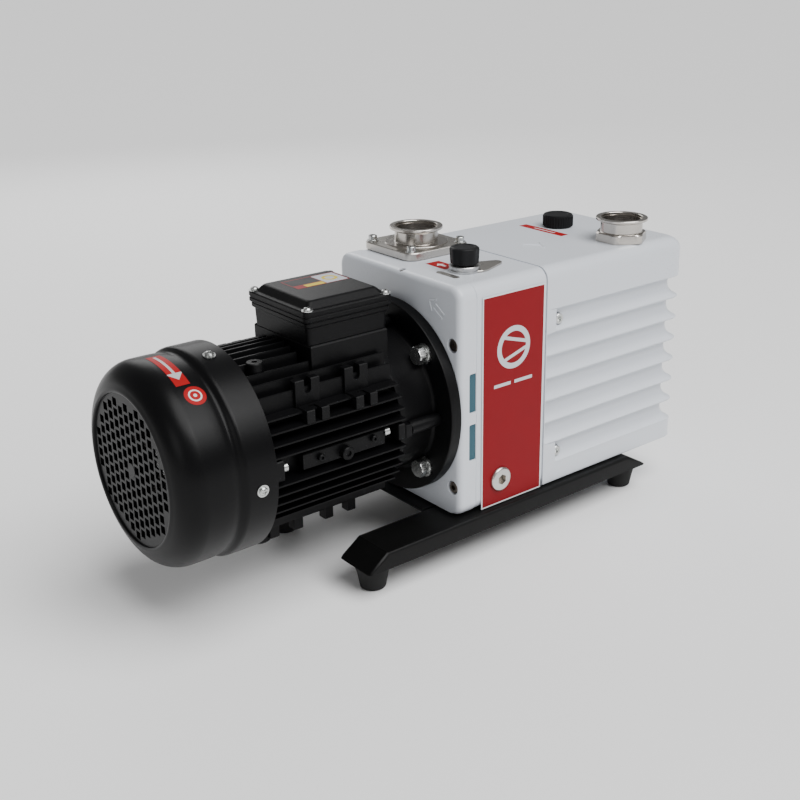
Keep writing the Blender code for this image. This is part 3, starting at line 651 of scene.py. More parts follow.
def rib_tree():
    """Upright ribs spaced evenly round a cap."""
    tree, graph, wires = node_tree(
        "Cap ribs",
        [
            ("Radius", "NodeSocketFloat"),
            ("Count", "NodeSocketInt"),
            ("Thickness", "NodeSocketFloat"),
            ("Height", "NodeSocketFloat"),
            ("Centre", "NodeSocketVector"),
            ("Look", "NodeSocketMaterial"),
        ],
    )
    ring = graph.add("GeometryNodeMeshCircle", {}, {"Vertices": wires["Count"], "Radius": wires["Radius"]})
    points = graph.add("GeometryNodeMeshToPoints", {}, {"Mesh": ring})
    sizes = {"Vertices": 8, "Radius": wires["Thickness"], "Depth": wires["Height"]}
    rib = graph.add("GeometryNodeMeshCylinder", {}, sizes, "Mesh")
    ribs = graph.add("GeometryNodeInstanceOnPoints", {}, {"Points": points, "Instance": rib})
    moved = graph.add("GeometryNodeTransform", {}, {"Geometry": ribs, "Translation": wires["Centre"]})
    close_tree(graph, moved, wires["Look"])
    return tree


def spot(x, y, z):
    return Vector((FACE + x * MM, y * MM, z * MM))


# Fastener templates, made about the origin and pointing up z


def at_origin(template):
    """Moves a template made about x = 0, y = 0, z = 0 to the world's origin."""
    template.data.transform(Matrix.Translation((-FACE, 0, 0)))
    template.modifiers.clear()
    return template


def socket_screw(head=5.0, tall=5.0, key=2.2, look="zinc"):
    """A cap screw with a chamfered round head and a hexagon socket."""
    profile = [(0, 0), (0, head), (tall - 0.6, head), (tall, head - 0.6), (tall, 0)]
    screw = lathe("template", "Z", (0, 0), profile, look, 24)
    socket = prism("tool", "Z", hexagon((0, 0), key, 24, 0.0), tall * 0.45, tall + 1, look)
    return at_origin(cut(screw, socket))


def pan_screw(head=4.0, look="zinc"):
    """A cross-head screw on a washer."""
    profile = [(0, 0), (0, head * 1.45), (0.9, head * 1.45), (0.9, head)]
    profile += [(0.9 + head * 0.3, head), (0.9 + head * 0.55, head * 0.8), (0.9 + head * 0.7, head * 0.4)]
    profile += [(0.9 + head * 0.72, 0)]
    screw = lathe("template", "Z", (0, 0), profile, look, 24)
    top = 0.9 + head * 0.72
    arms = [block("tool", (-head * 0.6, -0.5, top - 1.3), (head * 0.6, 0.5, top + 2), look)]
    arms.append(block("tool", (-0.5, -head * 0.6, top - 1.3), (0.5, head * 0.6, top + 2), look))
    return at_origin(cut(screw, *arms))


def hex_bolt(look="zinc"):
    """A hexagon bolt head on a plain washer and a split washer."""
    centre = (0, 0)
    sections = [
        (0.0, circle(centre, 10.4, 48)),
        (1.8, circle(centre, 10.4, 48)),
        (2.0, circle(centre, 9.0, 48)),
        (4.4, circle(centre, 9.0, 48)),
        (4.5, circle(centre, 8.3, 48)),
        (4.9, hexagon(centre, 8.4, 48, 0.3)),
        (10.2, hexagon(centre, 8.4, 48, 0.3)),
        (11.2, hexagon(centre, 8.3, 48, 1.3)),
    ]
    return at_origin(stack("template", "Z", sections, look))


def fasteners(name, template, points, aims, look, replaces=(), sizes=None):
    """A set of like fasteners as one piece."""
    seed = seed_points(name + "_points", points, aims, sizes)
    thing = run_tree(name, fastener_tree(), seed, {"Template": template, "Look": LOOKS[look]}, 24)
    bpy.data.objects.remove(template)
    return hand_over(thing, "frame", replaces)


# Sizes and colours a user would change


class PumpSizes(bpy.types.PropertyGroup):
    """Sizes of the castings, motor and trim, in metres."""

    half_width: bpy.props.FloatProperty(
        name="Half width", description="Half the castings' width", default=0.095, unit="LENGTH"
    )
    corner: bpy.props.FloatProperty(
        name="Corner radius", description="Rounding of the castings' long edges", default=0.013, unit="LENGTH"
    )
    fin_depth: bpy.props.FloatProperty(
        name="Fin depth", description="How far the oil box fins stand out", default=0.008, unit="LENGTH"
    )
    fin_pitch: bpy.props.FloatProperty(
        name="Fin pitch", description="Spacing of the oil box fins", default=0.0242, unit="LENGTH"
    )
    barrel_radius: bpy.props.FloatProperty(
        name="Barrel radius", description="Radius of the motor barrel under its fins", default=0.070, unit="LENGTH"
    )
    barrel_fin: bpy.props.FloatProperty(
        name="Barrel fin radius", description="Radius of the motor fins' tips", default=0.087, unit="LENGTH"
    )
    grille_pitch: bpy.props.FloatProperty(
        name="Grille pitch", description="Spacing of the fan cover's holes", default=0.0100, unit="LENGTH"
    )
    cap_ribs: bpy.props.IntProperty(
        name="Cap ribs", description="Ribs round the filler cap", default=36, min=6, max=90
    )


class PumpColours(bpy.types.PropertyGroup):
    """Colours of the main finishes."""

    casting: bpy.props.FloatVectorProperty(
        name="Casting", description="White powder coat", subtype="COLOR", default=(0.65, 0.68, 0.73)
    )
    motor: bpy.props.FloatVectorProperty(
        name="Motor", description="Black paint", subtype="COLOR", default=(0.0028, 0.0028, 0.0032)
    )
    label: bpy.props.FloatVectorProperty(
        name="Label", description="Red print", subtype="COLOR", default=(0.21, 0.0060, 0.0100)
    )
    ink: bpy.props.FloatVectorProperty(
        name="Label ink", description="Pale print on the label", subtype="COLOR", default=(0.56, 0.58, 0.61)
    )


def sizes():
    return bpy.context.scene.pump_sizes


class PUMP_OT_finishes(bpy.types.Operator):
    """Makes every material"""

    bl_idname = "pump.finishes"
    bl_label = "Finishes"

    def execute(self, context):
        colours = context.scene.pump_colours
        painted("white_coat", tuple(colours.casting), 0.30, 700.0, 0.00003, 0.02, 0.3)
        painted("black_cast", tuple(colours.motor), 0.42, 520.0, 0.00022, 0.25, 0.0, 0.02)
        painted("black_sheet", tuple(c * 0.9 for c in colours.motor), 0.33, 900.0, 0.00006, 0.2)
        painted("rail_coat", (0.0035, 0.0035, 0.0035), 0.40, 800.0, 0.00010, 0.2, 0.0, 0.015)
        machined("stainless", (0.52, 0.495, 0.46), 0.30)
        inlet = spot(*INLET, 0.0)
        outlet = spot(*OUTLET, 0.0)
        machined("stainless_inlet", (0.53, 0.50, 0.465), 0.24, tuple(inlet), 3000.0)
        machined("stainless_outlet", (0.53, 0.50, 0.465), 0.24, tuple(outlet), 3000.0)
        machined("steel", (0.55, 0.55, 0.55), 0.30)
        machined("zinc", (0.54, 0.55, 0.54), 0.28, None, 900.0, 0.000006)
        machined("dark_steel", (0.16, 0.14, 0.12), 0.38, None, 900.0, 0.000006)
        machined("iron", (0.24, 0.24, 0.25), 0.45, None, 900.0, 0.00001)
        machined("alloy", (0.66, 0.66, 0.67), 0.34)
        drain = tuple(spot(DRAIN[0], 0, DRAIN[1]))
        machined("drain_steel", (0.60, 0.58, 0.55), 0.30, drain, 2600.0, 0.000004, "Y")
        moulded("rubber", (0.018, 0.018, 0.018), 0.72)
        moulded("black_plastic", (0.010, 0.010, 0.011), 0.48, 1100.0, 0.00012)
        moulded("inner_plastic", (0.055, 0.05, 0.045), 0.55)
        painted("teal_liner", (0.022, 0.085, 0.115), 0.5, 500.0, 0.0001, 0.1)
        painted("oil_behind_glass", (0.42, 0.24, 0.05), 0.12, 300.0, 0.00001, 0.1, 0.8)
        _, _, glass = finish_look("sight_glass_look", (0.80, 0.62, 0.30), 0.06)
        glass.inputs["Transmission Weight"].default_value = 0.75
        glass.inputs["IOR"].default_value = 1.49
        red = (0.33, 0.006, 0.008)
        pale = (0.62, 0.62, 0.62)
        ink = tuple(colours.ink)
        x0, x1, z0, z1 = LABEL

        def pump_symbol(u, v):
            """A ring with two lines that draw together to the right."""
            middle = (0.0, 53.0)
            lines = abs(abs(v - middle[1]) + u * 0.30 - 8.0) - 1.8
            return hoop(u, v, middle, 19.0, 2.8).least(lines.most(hoop(u, v, middle, 0.0, 19.0)))

        def inner_field(u, v):
            """The label inside its pale border."""
            return 0.0 - slab(u, v, (0, 0), ((x1 - x0) / 2 - 1.4, (z1 - z0) / 2 - 1.4))

        def two_bars(u, v):
            return slab(u, v, (-14.5, 17.0), (11.0, 1.7)).least(slab(u, v, (13.5, 17.0), (12.0, 1.7)))

        def target(u, v):
            return hoop(u, v, (0, 0), 5.2, 0.7).least(hoop(u, v, (0, 0), 0, 1.6))

        layers = [(inner_field, (0.72, 0.73, 0.75)), (pump_symbol, ink), (two_bars, ink)]
        print_look("label_print", tuple(colours.label), layers)
        print_look("arrow_print", red, [(lambda u, v: arrow(u, v, -6.0, 7.0, 1.6, 6.0), (0.75, 0.75, 0.75))])
        print_look("band_print", red, [(lambda u, v: arrow(u, v, -24.0, 20.0, 1.3, 9.0), (0.45, 0.45, 0.46))])
        print_look("dot_print", red, [(target, pale)])
        print_look("strip_print", red, [(lambda u, v: slab(u, v, (-2.0, 0.0), (16.0, 0.9)), pale)])
        print_look(
            "plate_print",
            (0.20, 0.008, 0.010),
            [
                (lambda u, v: slab(u, v, (-12.6, 4.6), (15.4, 9.2)), (0.012, 0.012, 0.013)),
                (lambda u, v: slab(u, v, (-7.6, -9.8), (10.4, 3.8)), (0.55, 0.42, 0.02)),
                (lambda u, v: slab(u, v, (15.8, 0.0), (12.0, 13.8)), (0.42, 0.44, 0.48)),
                (lambda u, v: hoop(u, v, (15.8, 0.0), 6.2, 1.6), (0.55, 0.42, 0.02)),
            ],
        )
        return {"FINISHED"}


class PUMP_OT_base(bpy.types.Operator):
    """Two channel rails, the plate between them and four rubber feet"""

    bl_idname = "pump.base"
    bl_label = "Base"

    def execute(self, context):
        for side, node in ((-1, "rail_near"), (1, "rail_far")):
            rail = channel(node + "_fine", side)
            hand_over(rail, "frame", [node])
        plate = block("cross_plate_fine", *span("cross_plate"), "rail_coat", 0.6)
        hand_over(plate, "frame", ["cross_plate"])
        for number in (1, 2, 3, 4):
            node = f"foot_{number}"
            (x0, y0, _), (x1, y1, top) = span(node)
            profile = [(0.0, 0), (0.0, 11.4)] + arc(1.2, 11.6, 1.0, 180, 90, 4)
            profile += [(4.0, 13.2), (12.0, 14.6), (20.0, 16.4), (23.4, 17.9)]
            profile += [(25.8, 17.9), (26.8, 17.2), (27.0, 14.0), (27.0, 6.0)]
            profile += [(top, 6.0), (top, 0)]
            foot = lathe(node + "_fine", "Z", ((x0 + x1) / 2, (y0 + y1) / 2), profile, "rubber", 48)
            hand_over(foot, "frame", [node])
        return {"FINISHED"}


def channel(name, side):
    """A folded sheet rail, open below, with sloping ends and rounded folds."""
    (x0, inner, toe), (x1, outer, top) = span("rail_far")
    flat0, flat1 = -94.0, 240.0

    def outline(inset):
        knee = toe + (top - toe) * 0.14 + 0.3
        return [
            (flat0 + inset * 0.5, top - inset),
            (flat1 - inset * 0.5, top - inset),
            (flat1 + (x1 - flat1) * 0.86 - inset * 0.8, knee),
            (x1 - inset - 0.8, toe + 0.2),
            (x1 - inset - 2.5, toe),
            (x0 + inset + 2.5, toe),
            (x0 + inset + 0.8, toe + 0.2),
            (flat0 - (flat0 - x0) * 0.86 + inset * 0.8, knee),
        ]

    folds = ((0.0, 3.2), (0.5, 1.7), (1.5, 0.6), (3.2, 0.0))
    sections = [(side * (inner + step), outline(inset)) for step, inset in folds]
    sections += [(side * (outer - step), outline(inset)) for step, inset in reversed(folds)]
    rail = stack(name, "Y", sections, "rail_coat")
    hollow = [(flat0 - 1.0, top - 3.0), (flat1 + 1.0, top - 3.0), (x1 - 6.0, toe - 5.0), (x0 + 6.0, toe - 5.0)]
    ends = sorted((side * (inner + 3.0), side * (outer - 3.0)))
    return cut(rail, prism("tool", "Y", hollow, ends[0], ends[1], "rail_coat"), smooth=28)


class PUMP_OT_housing(bpy.types.Operator):
    """The coupling housing that the motor bolts to, and the liner seen through its slots"""

    bl_idname = "pump.housing"
    bl_label = "Coupling housing"

    def execute(self, context):
        wide = mm(sizes().half_width)
        corner = mm(sizes().corner)

        def outline(inset):
            low = (-wide + inset, WHITE_Z[0] + min(inset, 2.0))
            return rounded(low, (wide - inset, WHITE_Z[1] - inset), corner - inset * 0.7)

        sections = [(0.0, outline(6.5)), (0.3, outline(4.4)), (1.1, outline(2.5)), (2.4, outline(1.1))]
        sections += [(4.2, outline(0.3)), (6.5, outline(0.0)), (21.1, outline(0.0)), (21.7, outline(0.7))]
        body = stack("coupling_housing_fine", "X", sections, "white_coat", 40)
        tools = [drill("X", SHAFT, 66.0, -5, 30, 96)]
        for side in (-1, 1):
            for z0, z1 in ((154.0, 194.0), (104.0, 142.0)):
                ends = sorted((side * 40.0, side * (wide + 5)))
                outline_slot = rounded((12.4, z0), (30.0, z1), 2.0, 4)
                tools.append(prism("tool", "Y", outline_slot, ends[0], ends[1], "white_coat"))
        for y in (-HOUSING_SCREW_Y, HOUSING_SCREW_Y):
            for z in HOUSING_SCREW_Z:
                profile = [(-3, 0), (-3, 9.2), (0.7, 7.0), (7.0, 6.8), (7.0, 0)]
                tools.append(lathe("tool", "X", (y, z), profile, "white_coat", 40))
        for y in (-BOLTS, BOLTS):
            for z in (-BOLTS, BOLTS):
                tools.append(drill("X", (y, SHAFT_Z + z), 5.4, -5, 19, 32))
        tools.append(drill("Z", (5.2, -4.5), 3.3, WHITE_Z[1] - 6, WHITE_Z[1] + 5, 24))
        cut(body, *tools, smooth=40)
        strokes = (
            [(-60.5, 258.5), (-73.0, 250.8)],
            [(-57.6, 253.8), (-70.0, 246.0)],
            [(-61.5, 262.5), (-51.5, 260.0), (-54.5, 250.5)],
        )
        marks = [ribbon("mark", "X", 0.2, stroke, 1.6, -0.9, "white_coat") for stroke in strokes]
        screw = [(274.5, 0), (274.5, 3.1), (278.0, 3.1), (278.6, 2.6), (278.6, 0)]
        marks.append(lathe("screw", "Z", (5.2, -4.5), screw, "dark_steel", 24))
        piece = merge("coupling_housing_piece", body, *marks)
        hand_over(piece, "frame", ["coupling_housing"])
        for side in (-1, 1):
            for z0, z1 in ((154.2, 193.8), (104.2, 141.8)):
                ends = sorted((side * (wide - 1.8), side * (wide - 3.2)))
                liner = block("slot_liner", (12.6, ends[0], z0), (21.5, ends[1], z1), "teal_liner")
                hand_over(liner)
        ring = [(4.8, 64.0), (4.8, 65.6), (21.4, 65.6), (21.4, 64.0)]
        hand_over(lathe("coupling_liner", "X", SHAFT, ring, "teal_liner"))
        return {"FINISHED"}


class PUMP_OT_pump_body(bpy.types.Operator):
    """The pump body between the coupling housing and the oil box"""

    bl_idname = "pump.pump_body"
    bl_label = "Pump body"

    def execute(self, context):
        wide = mm(sizes().half_width) - 1.0
        top = WHITE_Z[1] - 0.6
        corner = mm(sizes().corner)

        def outline(inset):
            return rounded((-wide + inset, WHITE_Z[0]), (wide - inset, top - inset), corner)

        sections = [(22.0, outline(0.6)), (22.6, outline(0.0)), (113.4, outline(0.0)), (114.0, outline(0.6))]
        body = stack("pump_body_fine", "X", sections, "white_coat", 40)
        drain = [(-wide - 5, 0), (-wide - 5, 8.5), (-70.0, 8.5), (-70.0, 0)]
        tools = [
            drill("X", SHAFT, 58.0, 15, 62, 96),
            drill("X", SHAFT, 20.3, 55, 72, 48),
            drill("X", SHAFT, 12.4, 65, 120, 48),
            drill("Z", INLET, BORE, 222.0, top + 5, 64),
            drill("Z", BALLAST, 6.0, 250.0, top + 5, 32),
            lathe("tool", "Y", DRAIN, drain, "white_coat", 40),
        ]
        cut(body, *tools, smooth=40)
        hand_over(body, "frame", ["pump_body"])
        edge = rounded((22.6, -63.0), (29.8, -32.0), 3.5, 7)
        hand_over(prism("vent_strip", "Z", edge, top - 0.4, top + 0.35, "stainless"))
        return {"FINISHED"}


FIN_SHAPE = (
    (23.3, 0.05), (22.9, 0.01), (22.3, 0.0), (21.7, 0.03), (20.8, 0.17), (19.6, 0.38), (18.0, 0.58),
    (16.0, 0.76), (13.5, 0.90), (11.0, 0.975), (8.5, 1.0), (2.2, 0.99), (1.1, 0.93), (0.5, 0.72),
    (0.35, 0.42), (0.1, 0.16),
)


class PUMP_OT_oil_box(bpy.types.Operator):
    """The finned oil box with its sight glass"""

    bl_idname = "pump.oil_box"
    bl_label = "Oil box"

    def execute(self, context):
        start_x, end_x, corner = 114.3, 324.0, 13.0
        wide = mm(sizes().half_width)
        depth = mm(sizes().fin_depth)
        pitch = mm(sizes().fin_pitch)

        def outline(inset, start, crown=False):
            w = wide - inset
            end = end_x - inset
            points = [(start_x, wide), (start_x, -wide), (start, -wide), (start + 1.2, -w)]
            for a, b, turn in ((end - corner, -w + corner, 270), (end - corner, w - corner, 0)):
                points += arc(a, b, corner, turn, turn + 90, 9)
            points += [(start + 1.2, w), (start, wide)]
            if crown:
                points = [(x, max(-w, min(w, y))) for x, y in points]
            return points

        sections = [
            (WHITE_Z[0] + 0.5, outline(2.2, 116.0, True)),
            (WHITE_Z[0] + 1.2, outline(0.9, 116.0, True)),
            (WHITE_Z[0] + 2.6, outline(0.0, 116.0, True)),
        ]
        for groove in reversed(range(7)):
            edge = 236.0 - pitch * groove
            start = {0: 127.6, 6: 131.6}.get(groove, 115.2)
            for drop, share in FIN_SHAPE:
                sections.append((edge - drop, outline(share * depth, start)))
        sections.append((237.2, outline(0.0, 116.0, True)))
        for angle in range(0, 91, 10):
            turn = math.radians(angle)
            inset = corner * (1 - math.cos(turn))
            sections.append((WHITE_Z[1] - corner + corner * math.sin(turn), outline(inset, 116.0, True)))
        box = stack("oil_box_fine", "Z", sections, "white_coat", 44)
        tools = [
            drill("Z", OUTLET, BORE, 230.0, 290.0, 64),
            drill("Z", FILLER, 12.4, 262.0, 290.0, 48),
            drill("X", SIGHT, 16.0, 312.0, 330.0, 64),
            drill("X", SIGHT, 11.7, 300.0, 330.0, 64),
            prism("tool", "X", rounded((-80.0, 56.0), (80.0, 268.0), 13.0), 100.0, 308.0, "white_coat"),
        ]
        for side in (-1, 1):
            for x, z in OIL_BOX_SCREWS:
                ends = sorted((side * 84.5, side * (wide + 3)))
                tools.append(drill("Y", (x, z), 6.4, ends[0], ends[1], 40))
        cut(box, *tools, smooth=44)
        strokes = ([(163.0, -8.0), (176.0, -22.0), (182.0, -14.0)], [(176.0, -22.0), (172.0, -31.0)])
        marks = [ribbon("mark", "Z", WHITE_Z[1] - 0.2, stroke, 2.0, 1.0, "white_coat") for stroke in strokes]
        pad_profile = [(309.0, 16.1), (309.0, 21.0), (321.2, 21.0), (322.4, 19.8), (322.4, 16.1)]
        pad = lathe("pad", "X", SIGHT, pad_profile, "white_coat", 64)
        piece = merge("oil_box_piece", box, *marks, pad)
        hand_over(piece, "frame", ["oil_box"])

        bezel_profile = [(315.6, 11.6), (315.6, 15.6), (321.6, 15.6), (322.8, 14.8), (323.0, 13.4), (320.4, 11.6)]
        bezel = lathe("sight_glass_bezel_fine", "X", SIGHT, bezel_profile, "stainless", 64)
        hand_over(bezel, "frame", ["sight_glass_bezel"])
        glass = [(312.3, 0), (312.3, 15.6), (315.3, 15.6), (315.3, 11.0), (316.2, 6.0), (316.5, 0)]
        lens = lathe("sight_glass_fine", "X", SIGHT, glass, "sight_glass_look", 64)
        hand_over(lens, "frame", ["sight_glass"])
        oil = [(309.0, 0), (309.0, 11.2), (311.8, 11.2), (311.8, 0)]
        hand_over(lathe("oil_level_disc", "X", SIGHT, oil, "oil_behind_glass", 48))
        return {"FINISHED"}


class PUMP_OT_label(bpy.types.Operator):
    """The printed panel on the near side and the small stickers"""

    bl_idname = "pump.label"
    bl_label = "Label and stickers"

    def execute(self, context):
        x0, x1, z0, z1 = LABEL
        face = -mm(sizes().half_width) + 0.05
        middle = ((x0 + x1) / 2, (z0 + z1) / 2)
        backing = block("label_backing", (x0, face, z0), (x1, face + 0.7, z1), "white_coat", 0.25)
        cut(backing, drill("Y", DRAIN, 9.4, -110, -80, 48))
        hand_over(backing, "frame", ["label_panel"])
        label = ring_film(
            "label_print_film",
            lambda u, v: (middle[0] + u, face - 0.08, middle[1] + v),
            (x1 - x0, z1 - z0),
            (DRAIN[0] - middle[0], DRAIN[1] - middle[1]),
            9.4,
            "label_print",
        )
        hand_over(label)
        top = WHITE_Z[1] - 0.6 + 0.08
        patches = [
            ("flow_sticker", lambda u, v: (45.0 - v, -16.0 + u, top), (30.0, 17.0), "arrow_print"),
            ("filler_strip", lambda u, v: (225.0 - v, 24.0 + u, WHITE_Z[1] + 0.08), (66.0, 11.0), "strip_print"),
            ("lid_plate", lambda u, v: (-84.0 + u, 14.0 + v, 281.1), (58.0, 30.0), "plate_print"),
        ]
        for name, surface, size, look in patches:
            sticker = patch(name, surface, size, look, (2, 2))
            hand_over(sticker)
        band = patch("turning_sticker", cover_spot(-257.0, 101.5, 0.15), (54.0, 13.0), "band_print", (40, 6))
        hand_over(band)
        dot = patch("round_sticker", cover_spot(*DOT), (19.0, 19.0), "dot_print", (16, 16))
        trim_round(dot)
        hand_over(dot)
        return {"FINISHED"}


def trim_round(sticker):
    """Squeezes a square sticker's grid into a disc, keeping its map true."""
    layer = sticker.data.uv_layers["Print"]
    spots = {}
    for loop in sticker.data.loops:
        spots[loop.vertex_index] = tuple(layer.data[loop.index].uv)
    surface = cover_spot(*DOT)
    moved = {}
    for index, (u, v) in spots.items():
        longest = max(abs(u), abs(v))
        reach = math.hypot(u, v)
        scale = longest / reach if reach else 1.0
        moved[index] = (u * scale, v * scale)
        x, y, z = surface(u * scale, v * scale)
        sticker.data.vertices[index].co = (FACE + x * MM, y * MM, z * MM)
    for loop in sticker.data.loops:
        layer.data[loop.index].uv = moved[loop.vertex_index]


class PUMP_OT_ports(bpy.types.Operator):
    """The inlet and outlet flanges, the inlet's on a square plate on its seat"""

    bl_idname = "pump.ports"
    bl_label = "Ports"

    def execute(self, context):
        top = span("inlet_flange")[1][2]
        seat = WHITE_Z[1] - 0.3
        centre = INLET

        def outline(inset):
            low = (centre[0] - 40.5 + inset, centre[1] - 40.5 + inset)
            return rounded(low, (centre[0] + 40.5 - inset, centre[1] + 40.5 - inset), 12.0 - inset)

        steps = ((0.0, 0.7), (0.7, 0.0), (7.2, 0.0), (8.0, 0.8))
        levels = [(seat + step, outline(inset)) for step, inset in steps]
        plate = stack("plate", "Z", levels, "stainless")
        cut(plate, drill("Z", centre, BORE, seat - 3, seat + 12, 96))
        neck = port_neck("inlet_flange_fine", centre, seat + 6.0, seat + 9.0, top, "stainless_inlet", 32.5)
        piece = merge("inlet_flange_piece", plate, neck)
        hand_over(piece, "frame", ["inlet_flange"])

        centre = OUTLET
        seat = WHITE_Z[1] + 0.3
        base = stack(
            "base",
            "Z",
            [
                (seat, hexagon(centre, 25.0, 96, 1.4)),
                (seat + 8.0, hexagon(centre, 25.0, 96, 1.4)),
                (seat + 9.4, hexagon(centre, 24.4, 96, 2.6)),
            ],
            "stainless_outlet",
        )
        cut(base, drill("Z", centre, BORE, seat - 3, seat + 12, 96))
        neck = port_neck("neck", centre, seat + 7.0, seat + 9.5, top, "stainless_outlet", 23.2)
        piece = merge("outlet_flange_piece", base, neck)
        hand_over(piece, "frame", ["outlet_flange"])
        return {"FINISHED"}


def port_neck(name, centre, low, foot, top, look, foot_r):
    """A tube with a clamp flange: filleted foot, sloping underside and chamfered bore."""
    profile = [(low, BORE), (low, foot_r), (foot - 0.3, foot_r), (foot, foot_r - 0.3)]
    profile += [(foot, 23.0), (foot + 0.3, 22.5), (foot + 0.9, 22.3)]
    profile += [(top - 5.2, 22.3), (top - 4.6, 22.6), (top - 4.2, 23.3), (top - 2.9, 27.1)]
    profile += [(top - 2.5, 27.5), (top - 0.5, 27.5), (top - 0.1, 27.2), (top, 26.8)]
    profile += [(top, 22.4), (top - 0.5, 21.9), (top - 2.6, 21.8), (top - 2.8, 20.6)]
    return lathe(name, "Z", centre, profile, look, 128, 28)


class PUMP_OT_controls(bpy.types.Operator):
    """The gas ballast knob and seat, the filler cap and the drain plug"""

    bl_idname = "pump.controls"
    bl_label = "Knob, cap and plug"

    def execute(self, context):
        centre = BALLAST
        seat = WHITE_Z[1] - 0.3
        outline = arc(60.0, -46.0, 17.0, 215, 290, 7) + arc(90.0, -46.0, 6.0, 290, 420, 9)
        outline += arc(60.0, -46.0, 17.0, 70, 145, 7)
        inner = [(75 + (x - 75) * 0.985, -46 + (y + 46) * 0.985) for x, y in outline]
        levels = [(seat, outline), (seat + 1.4, outline), (seat + 1.8, inner)]
        plate = stack("plate", "Z", levels, "stainless")
        collar = [(seat, 4.6), (seat, 15.4), (seat + 1.8, 15.4), (seat + 2.0, 14.6), (seat + 2.6, 14.6)]
        collar += [(seat + 2.9, 15.3), (seat + 5.4, 15.3), (seat + 6.0, 14.8), (seat + 6.0, 4.6)]
        ring = lathe("collar", "Z", centre, collar, "steel", 64)
        piece = merge("ballast_seat_piece", plate, ring)
        hand_over(piece, "frame", ["ballast_seat"])

        (_, _, z0), (_, _, z1) = span("ballast_knob")

        def fluted(radius, deep):
            points = []
            for k in range(96):
                turn = TAU * k / 96
                reach = radius - deep * (0.5 - 0.5 * math.cos(8 * turn))
                points.append((centre[0] + reach * math.cos(turn), centre[1] + reach * math.sin(turn)))
            return points

        levels = [(z0, fluted(12.8, 0.2)), (z0 + 0.5, fluted(13.6, 0.5)), (z0 + 1.2, fluted(13.9, 0.8))]
        levels += [(z1 - 2.6, fluted(14.6, 0.8)), (z1 - 1.2, fluted(14.3, 0.6)), (z1 - 0.4, fluted(13.5, 0.4))]
        levels += [(z1, fluted(12.2, 0.1)), (z1, fluted(10.0, 0.0))]
        levels += [(z1 - 0.5, fluted(9.4, 0.0)), (z1 - 0.5, fluted(3.0, 0.0))]
        knob = stack("ballast_knob_fine", "Z", levels, "black_plastic")
        hand_over(knob, "ballast_knob_body", ["ballast_knob"])

        (_, _, z0), (_, _, z1) = span("filler_cap")
        z1 -= 2.6
        centre = FILLER
        profile = [(z0, 0), (z0, 11.6), (z0 + 1, 12.0), (280.3, 12.0), (280.3, 15.4), (281.0, 16.1)]
        profile += [(282.0, 16.3), (z1 - 1.4, 16.3), (z1 - 0.5, 15.8), (z1, 14.8), (z1, 11.0)]
        profile += [(z1 - 0.5, 10.4), (z1 - 0.5, 0)]
        cap = lathe("cap", "Z", centre, profile, "black_plastic", 96)
        height = z1 - 1.8 - 281.4
        values = {
            "Radius": 16.25 * MM,
            "Count": sizes().cap_ribs,
            "Thickness": 0.75 * MM,
            "Height": height * MM,
            "Centre": spot(centre[0], centre[1], 281.4 + height / 2),
            "Look": LOOKS["black_plastic"],
        }
        ribs = run_tree("ribs", rib_tree(), bpy.data.meshes.new("rib_seed"), values)
        piece = merge("filler_cap_piece", cap, ribs)
        hand_over(piece, "filler_cap_body", ["filler_cap"])

        face = span("drain_plug")[0][1]
        profile = [(face, 0), (face, 10.4), (face + 0.4, 11.4), (face + 1.0, 12.2), (face + 1.8, 12.6)]
        profile += [(-95.3, 12.6), (-95.2, 8.0), (-73.0, 8.0), (-73.0, 0)]
        plug = lathe("drain_plug_fine", "Y", DRAIN, profile, "drain_steel", 64)
        cut(plug, prism("tool", "Y", hexagon(DRAIN, 4.8, 24, 0.0), face - 4, face + 7.0, "steel"))
        # The dark disc at the socket's floor is painted shade: it darkens the hexagon socket where real shade
        # falls.
        shade = [(face + 5.0, 0), (face + 5.0, 5.6), (face + 5.4, 5.6), (face + 5.4, 0)]
        plug = merge("drain_plug_piece", plug, lathe("shade", "Y", DRAIN, shade, "dark_steel", 24))
        hand_over(plug, "drain_plug_body", ["drain_plug"])
        return {"FINISHED"}


